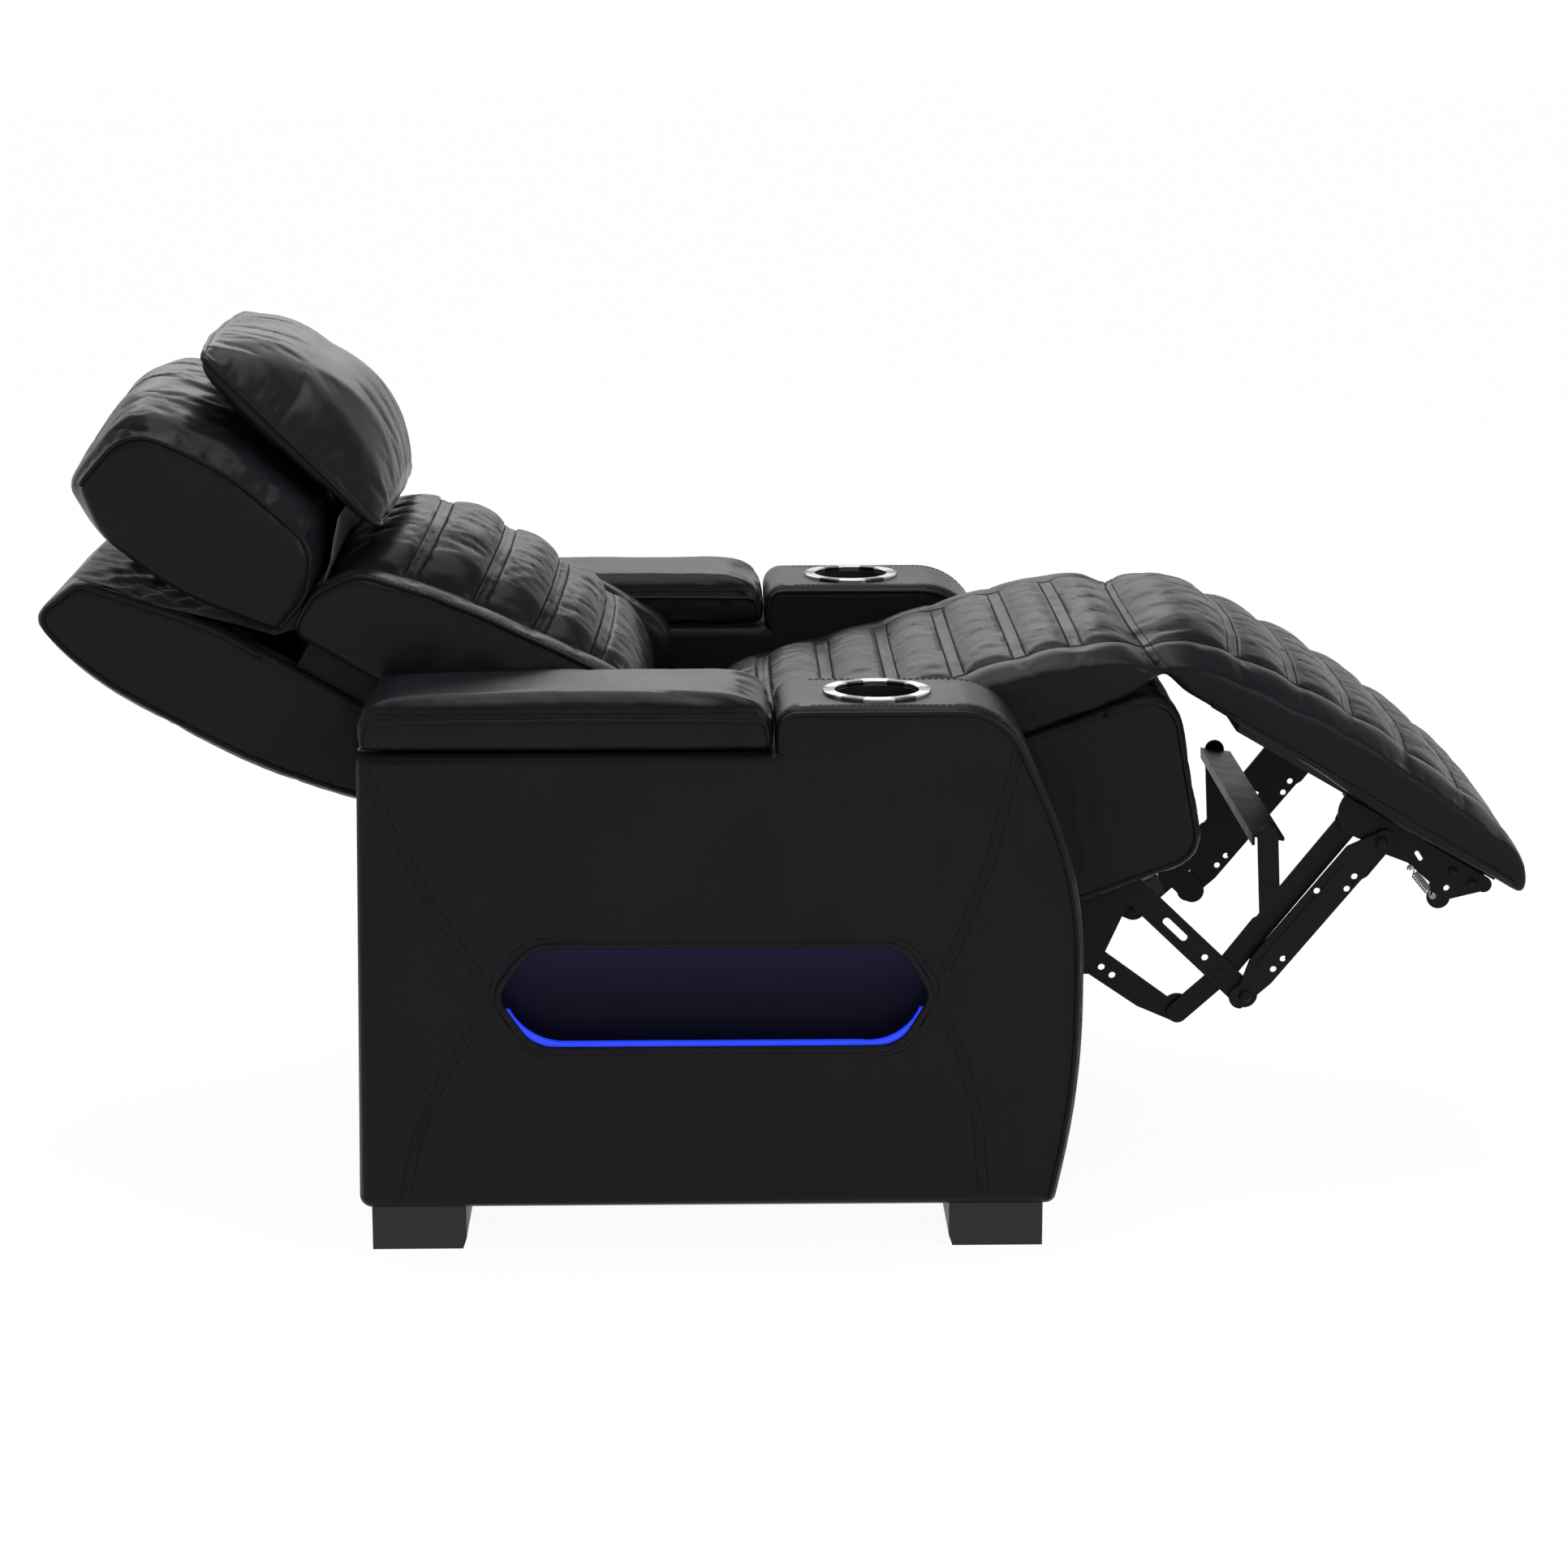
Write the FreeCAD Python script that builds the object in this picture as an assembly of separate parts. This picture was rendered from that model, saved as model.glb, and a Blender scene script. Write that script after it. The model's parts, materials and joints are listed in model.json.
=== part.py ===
import FreeCAD, Part
import math
import os

# Cinema recliner in its fully reclined pose, in millimetres.
# X runs across the seat, the sitter faces -Y, Z is up from the floor.
# Driving sizes
overall_width = 934.0
arm_width = 172.0
arm_top = 613.0
arm_bottom = 50.0
arm_rear = 398.0
arm_front = -398.5
arm_step = -62.0
shelf_drop = 51.0
lid_thickness = 57.0
bin_floor = 400.0
bin_wall = 4.0
pocket_low = 230.0
pocket_high = 351.0
pocket_depth = 42.0
pocket_wall = 3.0
strip_width = 6.0
cup_y = -174.0
cup_bore = 46.0
cup_wall = 3.0
cup_depth = 75.0
cup_floor = 3.0
flange_width = 13.6
flange_height = 4.0
bolster_width = 71.0
pillow_inset = 52.0
plate = 4.0
track_plate = 6.0
welt_radius = 2.6
welt_inset = 7.0
button_radius = 7.6
seat_tilt = 20.0
back_lean = 30.0
leg_drop = 30.3
row_shift = 85.0

# Clearances
seat_gap = 11.0
back_gap = 10.0
link_room = 50.0
track_gap = 6.0
wall_gap = 0.2
soft_gap = 0.6
layer_gap = 2.0
pin_gap = 0.1
slide_gap = 0.5
cup_gap = 0.4
button_gap = 0.4
board_gap = 0.4
lid_gap = 3.0
hinge_gap = 0.4

# Derived sizes
arm_outer = overall_width / 2
arm_inner = arm_outer - arm_width
cup_x = arm_outer - arm_width / 2
shelf_top = arm_top - shelf_drop
lid_base = shelf_top + lid_gap
lid_top = lid_base + lid_thickness
ring_radius = cup_bore + flange_width
seat_half = arm_inner - seat_gap
back_half = arm_inner - back_gap
bolster_x = back_half - bolster_width
mid_layer = seat_half - link_room
plate_x = (mid_layer, mid_layer + plate)
outer_x = (plate_x[1] + layer_gap, plate_x[1] + layer_gap + plate)
label_x = (outer_x[1] + layer_gap, outer_x[1] + layer_gap + plate)
inner_x = (plate_x[0] - layer_gap - plate, plate_x[0] - layer_gap)
track_x = (label_x[1] + track_gap, label_x[1] + track_gap + track_plate)
board_half = plate_x[0] - layer_gap
shell_wall = back_half - track_x[1] - 1.0

# Reference points: seat corner, back hinge and knee axis in the reclined pose
seat_origin = (-520.0, 595.0)
back_hinge = (60.0, 455.0)
knee_local = (-24.2, -59.8)
knee_plane = 66.7
glide_pole = (112.1, 1346.2)

# Pivots of the leg rest linkage in the seat frame, reclined
pivot_drop = (139.5, -182.5)
pivot_rear = (200.6, -263.5)
pivot_cross = (61.3, -345.5)
pivot_foot = (44.4, -375.7)
pivot_low = (123.7, -370.7)
pivot_board = (-160.2, -256.9)
pivot_board_rear = (-134.7, -224.5)
bar_local = (-41.0, -209.0)
headrest_pivot = (555.0, -56.0)

# Rollers of the seat in the curved tracks of the base
roller_front = (370.0, -235.0)
roller_rear = (672.0, -235.0)
roller_radius = 12.0
glide_turn = 12.0


def vec(x, y, z):
    return FreeCAD.Vector(x, y, z)


def frame(angle, origin):
    """Placement that tilts a side view about X and moves it to a point."""
    turn = FreeCAD.Rotation(vec(1, 0, 0), angle)
    return FreeCAD.Placement(vec(0, origin[0], origin[1]), turn)


seat_frame = frame(-seat_tilt, seat_origin)
back_frame_at = frame(back_lean, back_hinge)
knee_point = seat_frame.multVec(vec(0, knee_local[0], knee_local[1]))
foot_frame = frame(leg_drop, (knee_point.y, knee_point.z))


def seat_to_foot(point):
    """A side view point of the seat frame told in the leg rest frame."""
    at = seat_frame.multVec(vec(0, point[0], point[1]))
    at = foot_frame.inverse().multVec(at)
    return (at.y, at.z)


def placed(shape, where):
    """A copy of a shape moved from its own frame to the chair."""
    out = shape.copy()
    out.Placement = where.multiply(out.Placement)
    return out


def mirrored(shape):
    return shape.mirror(vec(0, 0, 0), vec(1, 0, 0))


def both(shape):
    """The right hand shape together with its left hand twin."""
    return Part.makeCompound([shape, mirrored(shape)])


def save(name, shapes):
    """Writes one node; a list becomes one compound of solids."""
    shapes = shapes if isinstance(shapes, list) else [shapes]
    solids = []
    for item in shapes:
        solids.extend(item.Solids)
    for item in solids:
        if not item.isValid():
            print("not valid:", name)
    out = solids[0].copy() if len(solids) == 1 else Part.makeCompound(solids)
    out.translate(vec(0, row_shift, 0))
    out.exportStep("parts/" + name + ".step")


def side_edges(x, start, steps):
    """Edges of a side view outline; a step is an end, or a middle and an end."""
    edges = []
    here = start
    for step in steps:
        if isinstance(step[0], tuple):
            arc = Part.Arc(vec(x, *here), vec(x, *step[0]), vec(x, *step[1]))
            edges.append(arc.toShape())
            here = step[1]
        else:
            edges.append(Part.LineSegment(vec(x, *here), vec(x, *step)).toShape())
            here = step
    if math.dist(here, start) > 1e-6:
        edges.append(Part.LineSegment(vec(x, *here), vec(x, *start)).toShape())
    return edges


def side_wire(x, start, steps):
    return Part.Wire(side_edges(x, start, steps))


def slab(start, steps, x0, x1):
    """A side view outline drawn out across the seat."""
    face = Part.Face(side_wire(x0, start, steps))
    return face.extrude(vec(x1 - x0, 0, 0))


def flat(steps):
    """Every point of an outline in one list, arc middles included."""
    points = []
    for step in steps:
        points.extend(step if isinstance(step[0], tuple) else [step])
    return points


def regroup(points, steps):
    """Points put back into the order of lines and arcs they came from."""
    out = []
    at = 0
    for step in steps:
        if isinstance(step[0], tuple):
            out.append((points[at], points[at + 1]))
            at += 2
        else:
            out.append(points[at])
            at += 1
    return out


def inset(start, steps, amount):
    """The same outline drawn in by an amount all round."""
    points = [start] + flat(steps)
    closed = math.dist(points[-1], points[0]) < 1e-6
    ring = points[:-1] if closed else points
    area = sum(p[0] * q[1] - q[0] * p[1] for p, q in zip(ring, ring[1:] + ring[:1]))
    sign = 1.0 if area > 0 else -1.0
    moved = []
    for index, point in enumerate(ring):
        before = ring[index - 1]
        after = ring[(index + 1) % len(ring)]
        a = (point[0] - before[0], point[1] - before[1])
        b = (after[0] - point[0], after[1] - point[1])
        la = math.hypot(*a)
        lb = math.hypot(*b)
        na = (-a[1] / la * sign, a[0] / la * sign)
        nb = (-b[1] / lb * sign, b[0] / lb * sign)
        grow = amount / max(0.5, 1 + na[0] * nb[0] + na[1] * nb[1])
        moved.append((point[0] + (na[0] + nb[0]) * grow, point[1] + (na[1] + nb[1]) * grow))
    if closed:
        moved.append(moved[0])
    return moved[0], regroup(moved[1:], steps)


def mix(low, high, share):
    """An outline between two outlines of the same make."""
    a = [low[0]] + flat(low[1])
    b = [high[0]] + flat(high[1])
    points = []
    for p, q in zip(a, b):
        points.append((p[0] + (q[0] - p[0]) * share, p[1] + (q[1] - p[1]) * share))
    return points[0], regroup(points[1:], low[1])


def skin(sections):
    """A solid through outlines at several places across the seat."""
    wires = [side_wire(x, outline[0], outline[1]) for x, outline in sections]
    solid = Part.makeLoft(wires, True, True)
    if solid.Volume < 0:
        solid.reverse()
    return solid


def shrink(corners, amount):
    """Corners of an outline drawn in all round, their radii kept in step."""
    points = [(corner[0], corner[1]) for corner in corners]
    area = sum(p[0] * q[1] - q[0] * p[1] for p, q in zip(points, points[1:] + points[:1]))
    sign = 1.0 if area > 0 else -1.0
    out = []
    for index, point in enumerate(points):
        before = points[index - 1]
        after = points[(index + 1) % len(points)]
        a = unit(before, point)
        b = unit(point, after)
        grow = amount * sign / (1 + a[0] * b[0] + a[1] * b[1])
        moved = (point[0] - (a[1] + b[1]) * grow, point[1] + (a[0] + b[0]) * grow)
        convex = (a[0] * b[1] - a[1] * b[0]) * sign > 0
        radius = corners[index][2]
        if radius > 0:
            radius = max(0.8, radius - amount) if convex else radius + amount
        out.append((moved[0], moved[1], radius))
    return out


def unit(p, q):
    length = math.dist(p, q)
    return ((q[0] - p[0]) / length, (q[1] - p[1]) / length)


def rounded(corners, closed=True):
    """Lines and tangent arcs round a list of corners with their radii."""
    ends = []
    for index, corner in enumerate(corners):
        point = (corner[0], corner[1])
        free_end = not closed and index in (0, len(corners) - 1)
        if corner[2] == 0 or free_end:
            ends.append((point, None, point))
            continue
        before = corners[index - 1]
        after = corners[(index + 1) % len(corners)]
        a = unit(point, (before[0], before[1]))
        b = unit(point, (after[0], after[1]))
        half = math.acos(max(-1.0, min(1.0, a[0] * b[0] + a[1] * b[1]))) / 2
        reach = corner[2] / math.tan(half)
        depth = corner[2] / math.sin(half) - corner[2]
        middle = unit((0.0, 0.0), (a[0] + b[0], a[1] + b[1]))
        first = (point[0] + a[0] * reach, point[1] + a[1] * reach)
        last = (point[0] + b[0] * reach, point[1] + b[1] * reach)
        ends.append((first, (point[0] + middle[0] * depth, point[1] + middle[1] * depth), last))
    start = ends[0][2]
    steps = []
    for first, middle, last in ends[1:] + (ends[:1] if closed else []):
        steps.append(first)
        if middle:
            steps.append((middle, last))
    return start, steps


def padded_block(corners, x0, x1, draw):
    """A block with drawn-in rounded ends, as a padded cover has."""
    sections = []
    for share, depth in ((0.0, 1.0), (0.3, 0.42), (1.0, 0.0)):
        sections.append((x0 + share * draw, rounded(shrink(corners, depth * draw))))
    for share, depth in ((1.0, 0.0), (0.3, 0.42), (0.0, 1.0)):
        sections.append((x1 - share * draw, rounded(shrink(corners, depth * draw))))
    return skin(sections)


def cushion(low, high, half, shares, draw=8.0):
    """A crowned cushion: low at its two drawn-in sides and high in the middle."""
    sections = [(half, inset(low[0], low[1], draw))]
    sections.append((half - draw * 0.3, inset(low[0], low[1], draw * 0.4)))
    sections += [(x * half, mix(low, high, share)) for x, share in shares]
    twins = [(-x, outline) for x, outline in sections if x > 0]
    return skin(twins + sections[::-1])


def crowned_block(low, high, half, shares, draw):
    """A crowned block between two lists of rounded corners."""
    sections = [(half, rounded(shrink(low, draw)))]
    sections.append((half - draw * 0.3, rounded(shrink(low, draw * 0.4))))
    for x, share in shares:
        corners = [[a + (b - a) * share for a, b in zip(*pair)] for pair in zip(low, high)]
        sections.append((x * half, rounded(corners)))
    twins = [(-x, outline) for x, outline in sections if x > 0]
    return skin(twins + sections[::-1])


def crest(p, q, rise):
    """An arc step from p to q that rises to the left of the way back."""
    length = math.dist(p, q)
    normal = ((q[1] - p[1]) / length, -(q[0] - p[0]) / length)
    middle = ((p[0] + q[0]) / 2 + normal[0] * rise, (p[1] + q[1]) / 2 + normal[1] * rise)
    return (middle, q)


def channels(points, rise):
    """One crest between each two seams in a row."""
    return [crest(p, q, rise) for p, q in zip(points, points[1:])]


def box(x0, x1, y0, y1, z0, z1):
    return Part.makeBox(x1 - x0, y1 - y0, z1 - z0, vec(x0, y0, z0))


def rod(x0, x1, point, radius):
    """A round bar across the seat at a side view point."""
    return Part.makeCylinder(radius, x1 - x0, vec(x0, point[0], point[1]), vec(1, 0, 0))


def post(x, y, z0, z1, radius):
    return Part.makeCylinder(radius, z1 - z0, vec(x, y, z0), vec(0, 0, 1))


def between(p, q, share, side=0.0):
    """A point along a link, moved to one side of its middle line."""
    length = math.dist(p, q)
    along = ((q[0] - p[0]) / length, (q[1] - p[1]) / length)
    x = p[0] + (q[0] - p[0]) * share - along[1] * side
    y = p[1] + (q[1] - p[1]) * share + along[0] * side
    return (x, y)


def strap(p, q, width, layer):
    """A flat link with round ends."""
    r = width / 2
    reach = r / math.dist(p, q)
    a = between(p, q, 0, r)
    b = between(p, q, 1, r)
    c = between(p, q, 1, -r)
    d = between(p, q, 0, -r)
    tip = between(p, q, 1 + reach)
    tail = between(p, q, -reach)
    return slab(a, [b, (tip, c), d, (tail, a)], *layer)


def drilled(shape, layer, points, radius):
    """Holes through one layer at several points."""
    for point in points:
        shape = shape.cut(rod(layer[0] - 1, layer[1] + 1, point, radius))
    return shape


# Side view of an arm: y, z and the radius of each corner
arm_corners = [
    (arm_rear - 8.0, shelf_top, 0),
    (arm_rear, arm_bottom, 14.0),
    (arm_front + 28.5, arm_bottom, 12.0),
    (arm_front, arm_bottom + 134.0, 900.0),
    (arm_front, arm_top - 192.0, 450.0),
    (arm_front + 85.5, arm_top, 80.0),
    (arm_step, arm_top, 24.0),
    (arm_step, shelf_top, 0),
]
arm_board = 18.0
arm_draw = 10.0


def make_arms():
    body = padded_block(arm_corners, -arm_outer, -arm_inner, arm_draw)
    for cord in make_arm_piping():
        body = body.fuse(cord)
    outer_wall = -arm_outer + arm_board
    inner_wall = -arm_inner - arm_board
    front_wall = arm_front + 60.5
    rear_wall = arm_rear - 28.0
    room_foot = pocket_low - arm_board
    room_head = bin_floor - 12.0
    bin_x = (outer_wall + 6, inner_wall - 4)
    bin_y = (arm_step + 34.0, arm_rear - 36.0)
    bin_hole = box(*bin_x, *bin_y, bin_floor, shelf_top + 1)
    low_room = box(outer_wall, inner_wall, front_wall, rear_wall, arm_bottom + 16, room_foot)
    behind = -arm_outer + pocket_depth + 4
    rear_room = box(behind, inner_wall, front_wall, rear_wall, room_foot - 1, room_head)
    room_top = arm_top - cup_depth - 20
    front_room = box(outer_wall, inner_wall, front_wall + 13, arm_step + 12, room_head - 1, room_top)
    frame_room = low_room.fuse(rear_room).fuse(front_room)
    hole = cup_bore + cup_wall + cup_gap
    cup_hole = post(-cup_x, cup_y, arm_top - cup_depth - 8, arm_top + 1, hole)
    arm = body.cut(bin_hole).cut(cup_hole).cut(frame_room)
    start, steps = pocket_outline()
    arm = arm.cut(slab(start, steps, -arm_outer - 1, -arm_outer + pocket_depth))
    save("arm_right", arm)
    save("arm_left", mirrored(arm))
    liner = box(*bin_x, *bin_y, bin_floor, shelf_top - 1)
    inside_x = (bin_x[0] + bin_wall, bin_x[1] - bin_wall)
    inside_y = (bin_y[0] + bin_wall, bin_y[1] - bin_wall)
    liner = liner.cut(box(*inside_x, *inside_y, bin_floor + bin_wall, shelf_top))
    save("storage_bin_right", liner)
    save("storage_bin_left", mirrored(liner))


def pocket_outline():
    """The pointed oval opening of the lit pocket in the arm's outer side."""
    tips = (pocket_low + pocket_high) / 2 + 2.5
    start = (166.0, pocket_high)
    steps = [
        (-156.0, pocket_high),
        ((-212.0, pocket_high - 16), (-234.0, tips)),
        ((-214.0, pocket_low + 20), (-156.0, pocket_low)),
        (166.0, pocket_low),
        ((222.0, pocket_low + 20), (246.0, tips)),
        ((223.0, pocket_high - 16), (166.0, pocket_high)),
    ]
    return start, steps


def make_arm_piping():
    """Welt cords round the outer and inner side panels of the right arm."""
    cords = []
    line = shrink(arm_corners, welt_inset)[2:]
    line[0] = (line[0][0], line[0][1] + welt_inset, 0)
    line[-1] = (line[-1][0], line[-1][1] + welt_inset, 0)
    start, steps = rounded(line, False)
    first = steps[0]
    way = vec(0, first[0] - start[0], first[1] - start[1])
    for x in (-arm_outer + welt_radius, -arm_inner - welt_radius):
        path = Part.Wire(side_edges(x, start, steps)[:-1])
        ring = Part.Wire(Part.makeCircle(welt_radius, vec(x, *start), way))
        cords.append(path.makePipeShell([ring], True, False))
    return cords


def make_cups():
    ring_top = arm_top + flange_height
    lens_depth = flange_height - 1.5
    lens_reach = ring_radius - lens_depth
    cup = post(-cup_x, cup_y, arm_top - cup_depth, ring_top - 1, cup_bore + cup_wall)
    flange = post(-cup_x, cup_y, arm_top, ring_top, ring_radius)
    body = cup.fuse(flange)
    body = body.cut(post(-cup_x, cup_y, arm_top - cup_depth + cup_floor, ring_top + 1, cup_bore))
    rim = []
    for edge in body.Edges:
        circle = isinstance(edge.Curve, Part.Circle)
        if circle and abs(edge.Curve.Center.z - ring_top) < 0.01:
            rim.append(edge)
    body = body.makeFillet(1.6, rim)
    lights = []
    for index in range(6):
        angle = 60.0 * index + 30.0
        at = FreeCAD.Rotation(vec(0, 0, 1), angle).multVec(vec(ring_radius + 17, 0, 0))
        bite = post(-cup_x + at.x, cup_y + at.y, ring_top - lens_depth, ring_top + 1, 22.0)
        disc = post(-cup_x, cup_y, ring_top - lens_depth, ring_top - 0.5, lens_reach)
        lens = bite.common(disc)
        lights.append(lens)
        body = body.cut(bite.common(post(-cup_x, cup_y, 0, ring_top + 2, lens_reach)))
    save("cup_holder_right", body)
    save("cup_holder_left", mirrored(body))
    save("cup_light_right", lights)
    save("cup_light_left", [mirrored(lens) for lens in lights])


def make_pockets():
    start, steps = pocket_outline()
    depth = (-arm_outer + pocket_wall, -arm_outer + pocket_depth)
    shell = slab(start, steps, *depth)
    inner_start, inner_steps = inset(start, steps, pocket_wall)
    room = slab(inner_start, inner_steps, depth[0] - 1, depth[1] - pocket_wall)
    tray = shell.cut(room)
    strip_start, strip_steps = inset(start, steps, pocket_wall + strip_width)
    band = slab(inner_start, inner_steps, depth[0] + 2, depth[0] + 10)
    band = band.cut(slab(strip_start, strip_steps, depth[0] + 1, depth[0] + 11))
    strip = band.common(box(-arm_outer, -arm_inner, -300, 300, pocket_low - 30, pocket_low + 46))
    save("light_pocket_right", tray)
    save("light_pocket_left", mirrored(tray))
    save("led_strip_right", strip)
    save("led_strip_left", mirrored(strip))


def make_feet():
    front = arm_front + 40.5
    rear = arm_rear - 13.0
    length = 104.0
    for place, y0, y1 in (("front", front, front + length), ("rear", rear - length, rear)):
        steps = [(y0, 14.0), (y0, 0.0), (y1 - 4, 0.0), (y1, 12.0), (y1, arm_bottom)]
        start = (y0, arm_bottom)
        if place == "rear":
            steps = [(y0, 12.0), (y0 + 4, 0.0), (y1, 0.0), (y1, arm_bottom)]
        foot = slab(start, steps, -arm_outer + 12, -arm_inner - arm_board)
        save("foot_" + place + "_right", foot)
        save("foot_" + place + "_left", mirrored(foot))


def tube_box(x0, x1, y0, y1, z0, z1, wall, along):
    """A square tube open at both ends along one axis."""
    outer = box(x0, x1, y0, y1, z0, z1)
    if along == "y":
        return outer.cut(box(x0 + wall, x1 - wall, y0 - 1, y1 + 1, z0 + wall, z1 - wall))
    return outer.cut(box(x0 - 1, x1 + 1, y0 + wall, y1 - wall, z0 + wall, z1 - wall))


def track_arc(point, radius, low, high):
    """A slot that follows the seat's turn about its far pole."""
    base = math.atan2(point[1] - glide_pole[1], point[0] - glide_pole[0])
    reach = math.dist(point, glide_pole)
    extra = math.degrees(radius / reach)
    def at(distance, degrees):
        angle = base + math.radians(degrees)
        x = glide_pole[0] + distance * math.cos(angle)
        return (x, glide_pole[1] + distance * math.sin(angle))
    half = (low + high) / 2
    inner = reach - radius
    outer = reach + radius
    start = at(inner, low)
    steps = [
        (at(inner, half), at(inner, high)),
        (at(reach, high + extra), at(outer, high)),
        (at(outer, half), at(outer, low)),
        (at(reach, low - extra), at(inner, low)),
    ]
    return start, steps


def chair_point(point):
    """A side view point of the seat frame told in the chair."""
    at = seat_frame.multVec(vec(0, point[0], point[1]))
    return (at.y, at.z)


def make_base():
    rail = tube_box(-arm_inner, -track_x[1], -300.0, 350.0, 66.0, 106.0, 3.0, "y")
    plate_body = None
    for roller in (roller_front, roller_rear):
        start, steps = track_arc(chair_point(roller), 27.0, -0.6, glide_turn + 0.6)
        lobe = slab(start, steps, -track_x[1], -track_x[0])
        plate_body = lobe if plate_body is None else plate_body.fuse(lobe)
    web_steps = [(-150.0, 70.0), (255.0, 70.0), (285.0, 140.0), (20.0, 135.0), (-30.0, 178.0)]
    web = slab((-205.0, 215.0), web_steps, -track_x[1], -track_x[0])
    plate_body = plate_body.fuse(web).removeSplitter()
    for roller in (roller_front, roller_rear):
        radius = roller_radius + slide_gap
        start, steps = track_arc(chair_point(roller), radius, 0.0, glide_turn)
        plate_body = plate_body.cut(slab(start, steps, -track_x[1] - 1, -track_x[0] + 1))
    save("base_rail_right", rail)
    save("base_rail_left", mirrored(rail))
    save("glide_tracks", both(plate_body))
    tubes = []
    for y in (60.0, 235.0):
        tubes.append(tube_box(-track_x[0], track_x[0], y - 14, y + 14, 72.0, 98.0, 2.5, "x"))
    save("base_cross_tubes", tubes)
    board = box(-arm_inner, arm_inner, 344.0, 362.0, 112.0, 300.0)
    save("rear_stretcher", board)
    box_body = box(60.0, 200.0, 318.0, 344.0, 150.0, 210.0)
    save("power_box", box_body)
    inlet = box(108.0, 152.0, 362.0, 374.0, 160.0, 192.0)
    inlet = inlet.cut(box(116.0, 144.0, 364.0, 375.0, 167.0, 185.0))
    for x in (123.0, 135.0):
        inlet = inlet.fuse(box(x, x + 2.0, 364.0, 372.0, 172.0, 180.0))
    save("power_inlet", inlet)


def make_controls():
    """Switch panel on the inner side of the right arm and its five buttons."""
    x0 = -arm_inner
    row = arm_top - 62.0
    panel = box(x0, x0 + 4.0, cup_y - 78.0, cup_y + 62.0, row - 15.0, row + 15.0)
    names = ("recline", "return", "head_up", "head_down", "light")
    for index, name in enumerate(names):
        y = cup_y - 58.0 + 25.0 * index
        panel = panel.cut(rod(x0 + 0.8, x0 + 5.0, (y, row), button_radius + button_gap))
        button = rod(x0 + 2.4, x0 + 6.0, (y, row), button_radius)
        save("button_" + name, button)
    save("control_panel", panel)


def make_lids():
    corners = [
        (arm_rear - 10.0, lid_base, 3.0),
        (arm_rear - 6.0, lid_top - 4, 24.0),
        (170.0, lid_top + 2, 2000.0),
        (arm_step + 12.0, lid_top, 26.0),
        (arm_step + 4.0, lid_base, 8.0),
    ]
    lid = padded_block(corners, -arm_outer, -arm_inner, 9.0)
    save("lid_right", lid)
    save("lid_left", mirrored(lid))
    pin_radius = lid_gap / 2
    pin_at = (arm_rear - 9.5, shelf_top + pin_radius)
    length = 18.0
    sheet = 1.0
    bases = []
    leaves = []
    for x in (-arm_outer + 29, -arm_outer + 105):
        knuckle = rod(x, x + length, pin_at, pin_radius)
        leaf = box(x, x + length, pin_at[0] - 22.5, pin_at[0], shelf_top, shelf_top + sheet)
        bases.append(knuckle.fuse(leaf))
        twin = x + length + hinge_gap
        knuckle = rod(twin, twin + length, pin_at, pin_radius)
        leaf = box(twin, twin + length, pin_at[0] - 48.5, pin_at[0], lid_base - sheet, lid_base)
        leaves.append(knuckle.fuse(leaf))
    save("lid_hinge_bases", bases + [mirrored(item) for item in bases])
    save("lid_hinge_leaf_right", leaves)
    save("lid_hinge_leaf_left", [mirrored(item) for item in leaves])


def make_seat():
    length = 560.0
    panel = 16.0
    corners = [
        (length, box_top, 0),
        (2.0, box_top, 42.0),
        (36.0, box_foot, 40.0),
        (length, box_foot, 0),
    ]
    shell = padded_block(corners, -seat_half, seat_half, 6.0)
    wall_y = length - panel + 1
    inside = seat_half - panel
    room = box(-inside, inside, 52.0, wall_y, box_foot - 13, box_ceiling)
    low_back = box(-inside, inside, wall_y - 1, length + 1, box_foot - 13, box_foot + 87)
    slot = box(plate_x[0] - 1, plate_x[1] + 1, wall_y - 1, length + 1, box_foot + 86, box_ceiling)
    shell = shell.cut(room).cut(low_back).cut(both(slot))
    save("seat_box", placed(shell, seat_frame))

    top_low = [(500.0, 84.0), (449.0, 84.0), (376.0, 83.0), (303.0, 82.0), (230.0, 80.0),
               (157.0, 76.0), (92.0, 66.0), (33.0, 46.0)]
    top_high = [(500.0, 127.0), (449.0, 125.0), (376.0, 113.0), (303.0, 101.0), (230.0, 94.0),
                (157.0, 90.0), (92.0, 83.0), (38.0, 70.0)]
    low = cushion_outline(top_low, 104.0, 2.0)
    high = cushion_outline(top_high, 128.0, 7.0)
    pad = cushion(low, high, seat_half - 1, chaise_shares)
    save("seat_cushion", placed(pad, seat_frame))


# Height and ceiling of the seat box in the seat frame
box_top = 8.0
box_ceiling = -10.0
box_foot = -197.0

# Places across the seat, as shares of its half width, and how crowned each one is
chaise_shares = ((0.955, 0.0), (0.86, 0.42), (0.775, 0.5), (0.755, 0.42),
                 (0.735, 0.52), (0.5, 0.86), (0.2, 1.0))


def knee_at(radius, offset):
    """A point of the plane through the knee axis where seat and leg rest pads meet."""
    angle = math.radians(knee_plane)
    along = (math.cos(angle), math.sin(angle))
    y = knee_local[0] + along[0] * radius + along[1] * offset
    return (y, knee_local[1] + along[1] * radius - along[0] * offset)


def cushion_outline(top, reach, rise):
    """Side view of the seat cushion from its rear top round to its rear foot."""
    steps = channels(top, rise)
    steps.append(knee_at(reach, soft_gap))
    steps.append(knee_at(90.0, soft_gap))
    steps.append((52.0, 8.0))
    steps.append((556.0, 8.0))
    steps.append(crest((556.0, 8.0), top[0], 4.0))
    return top[0], steps


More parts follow.
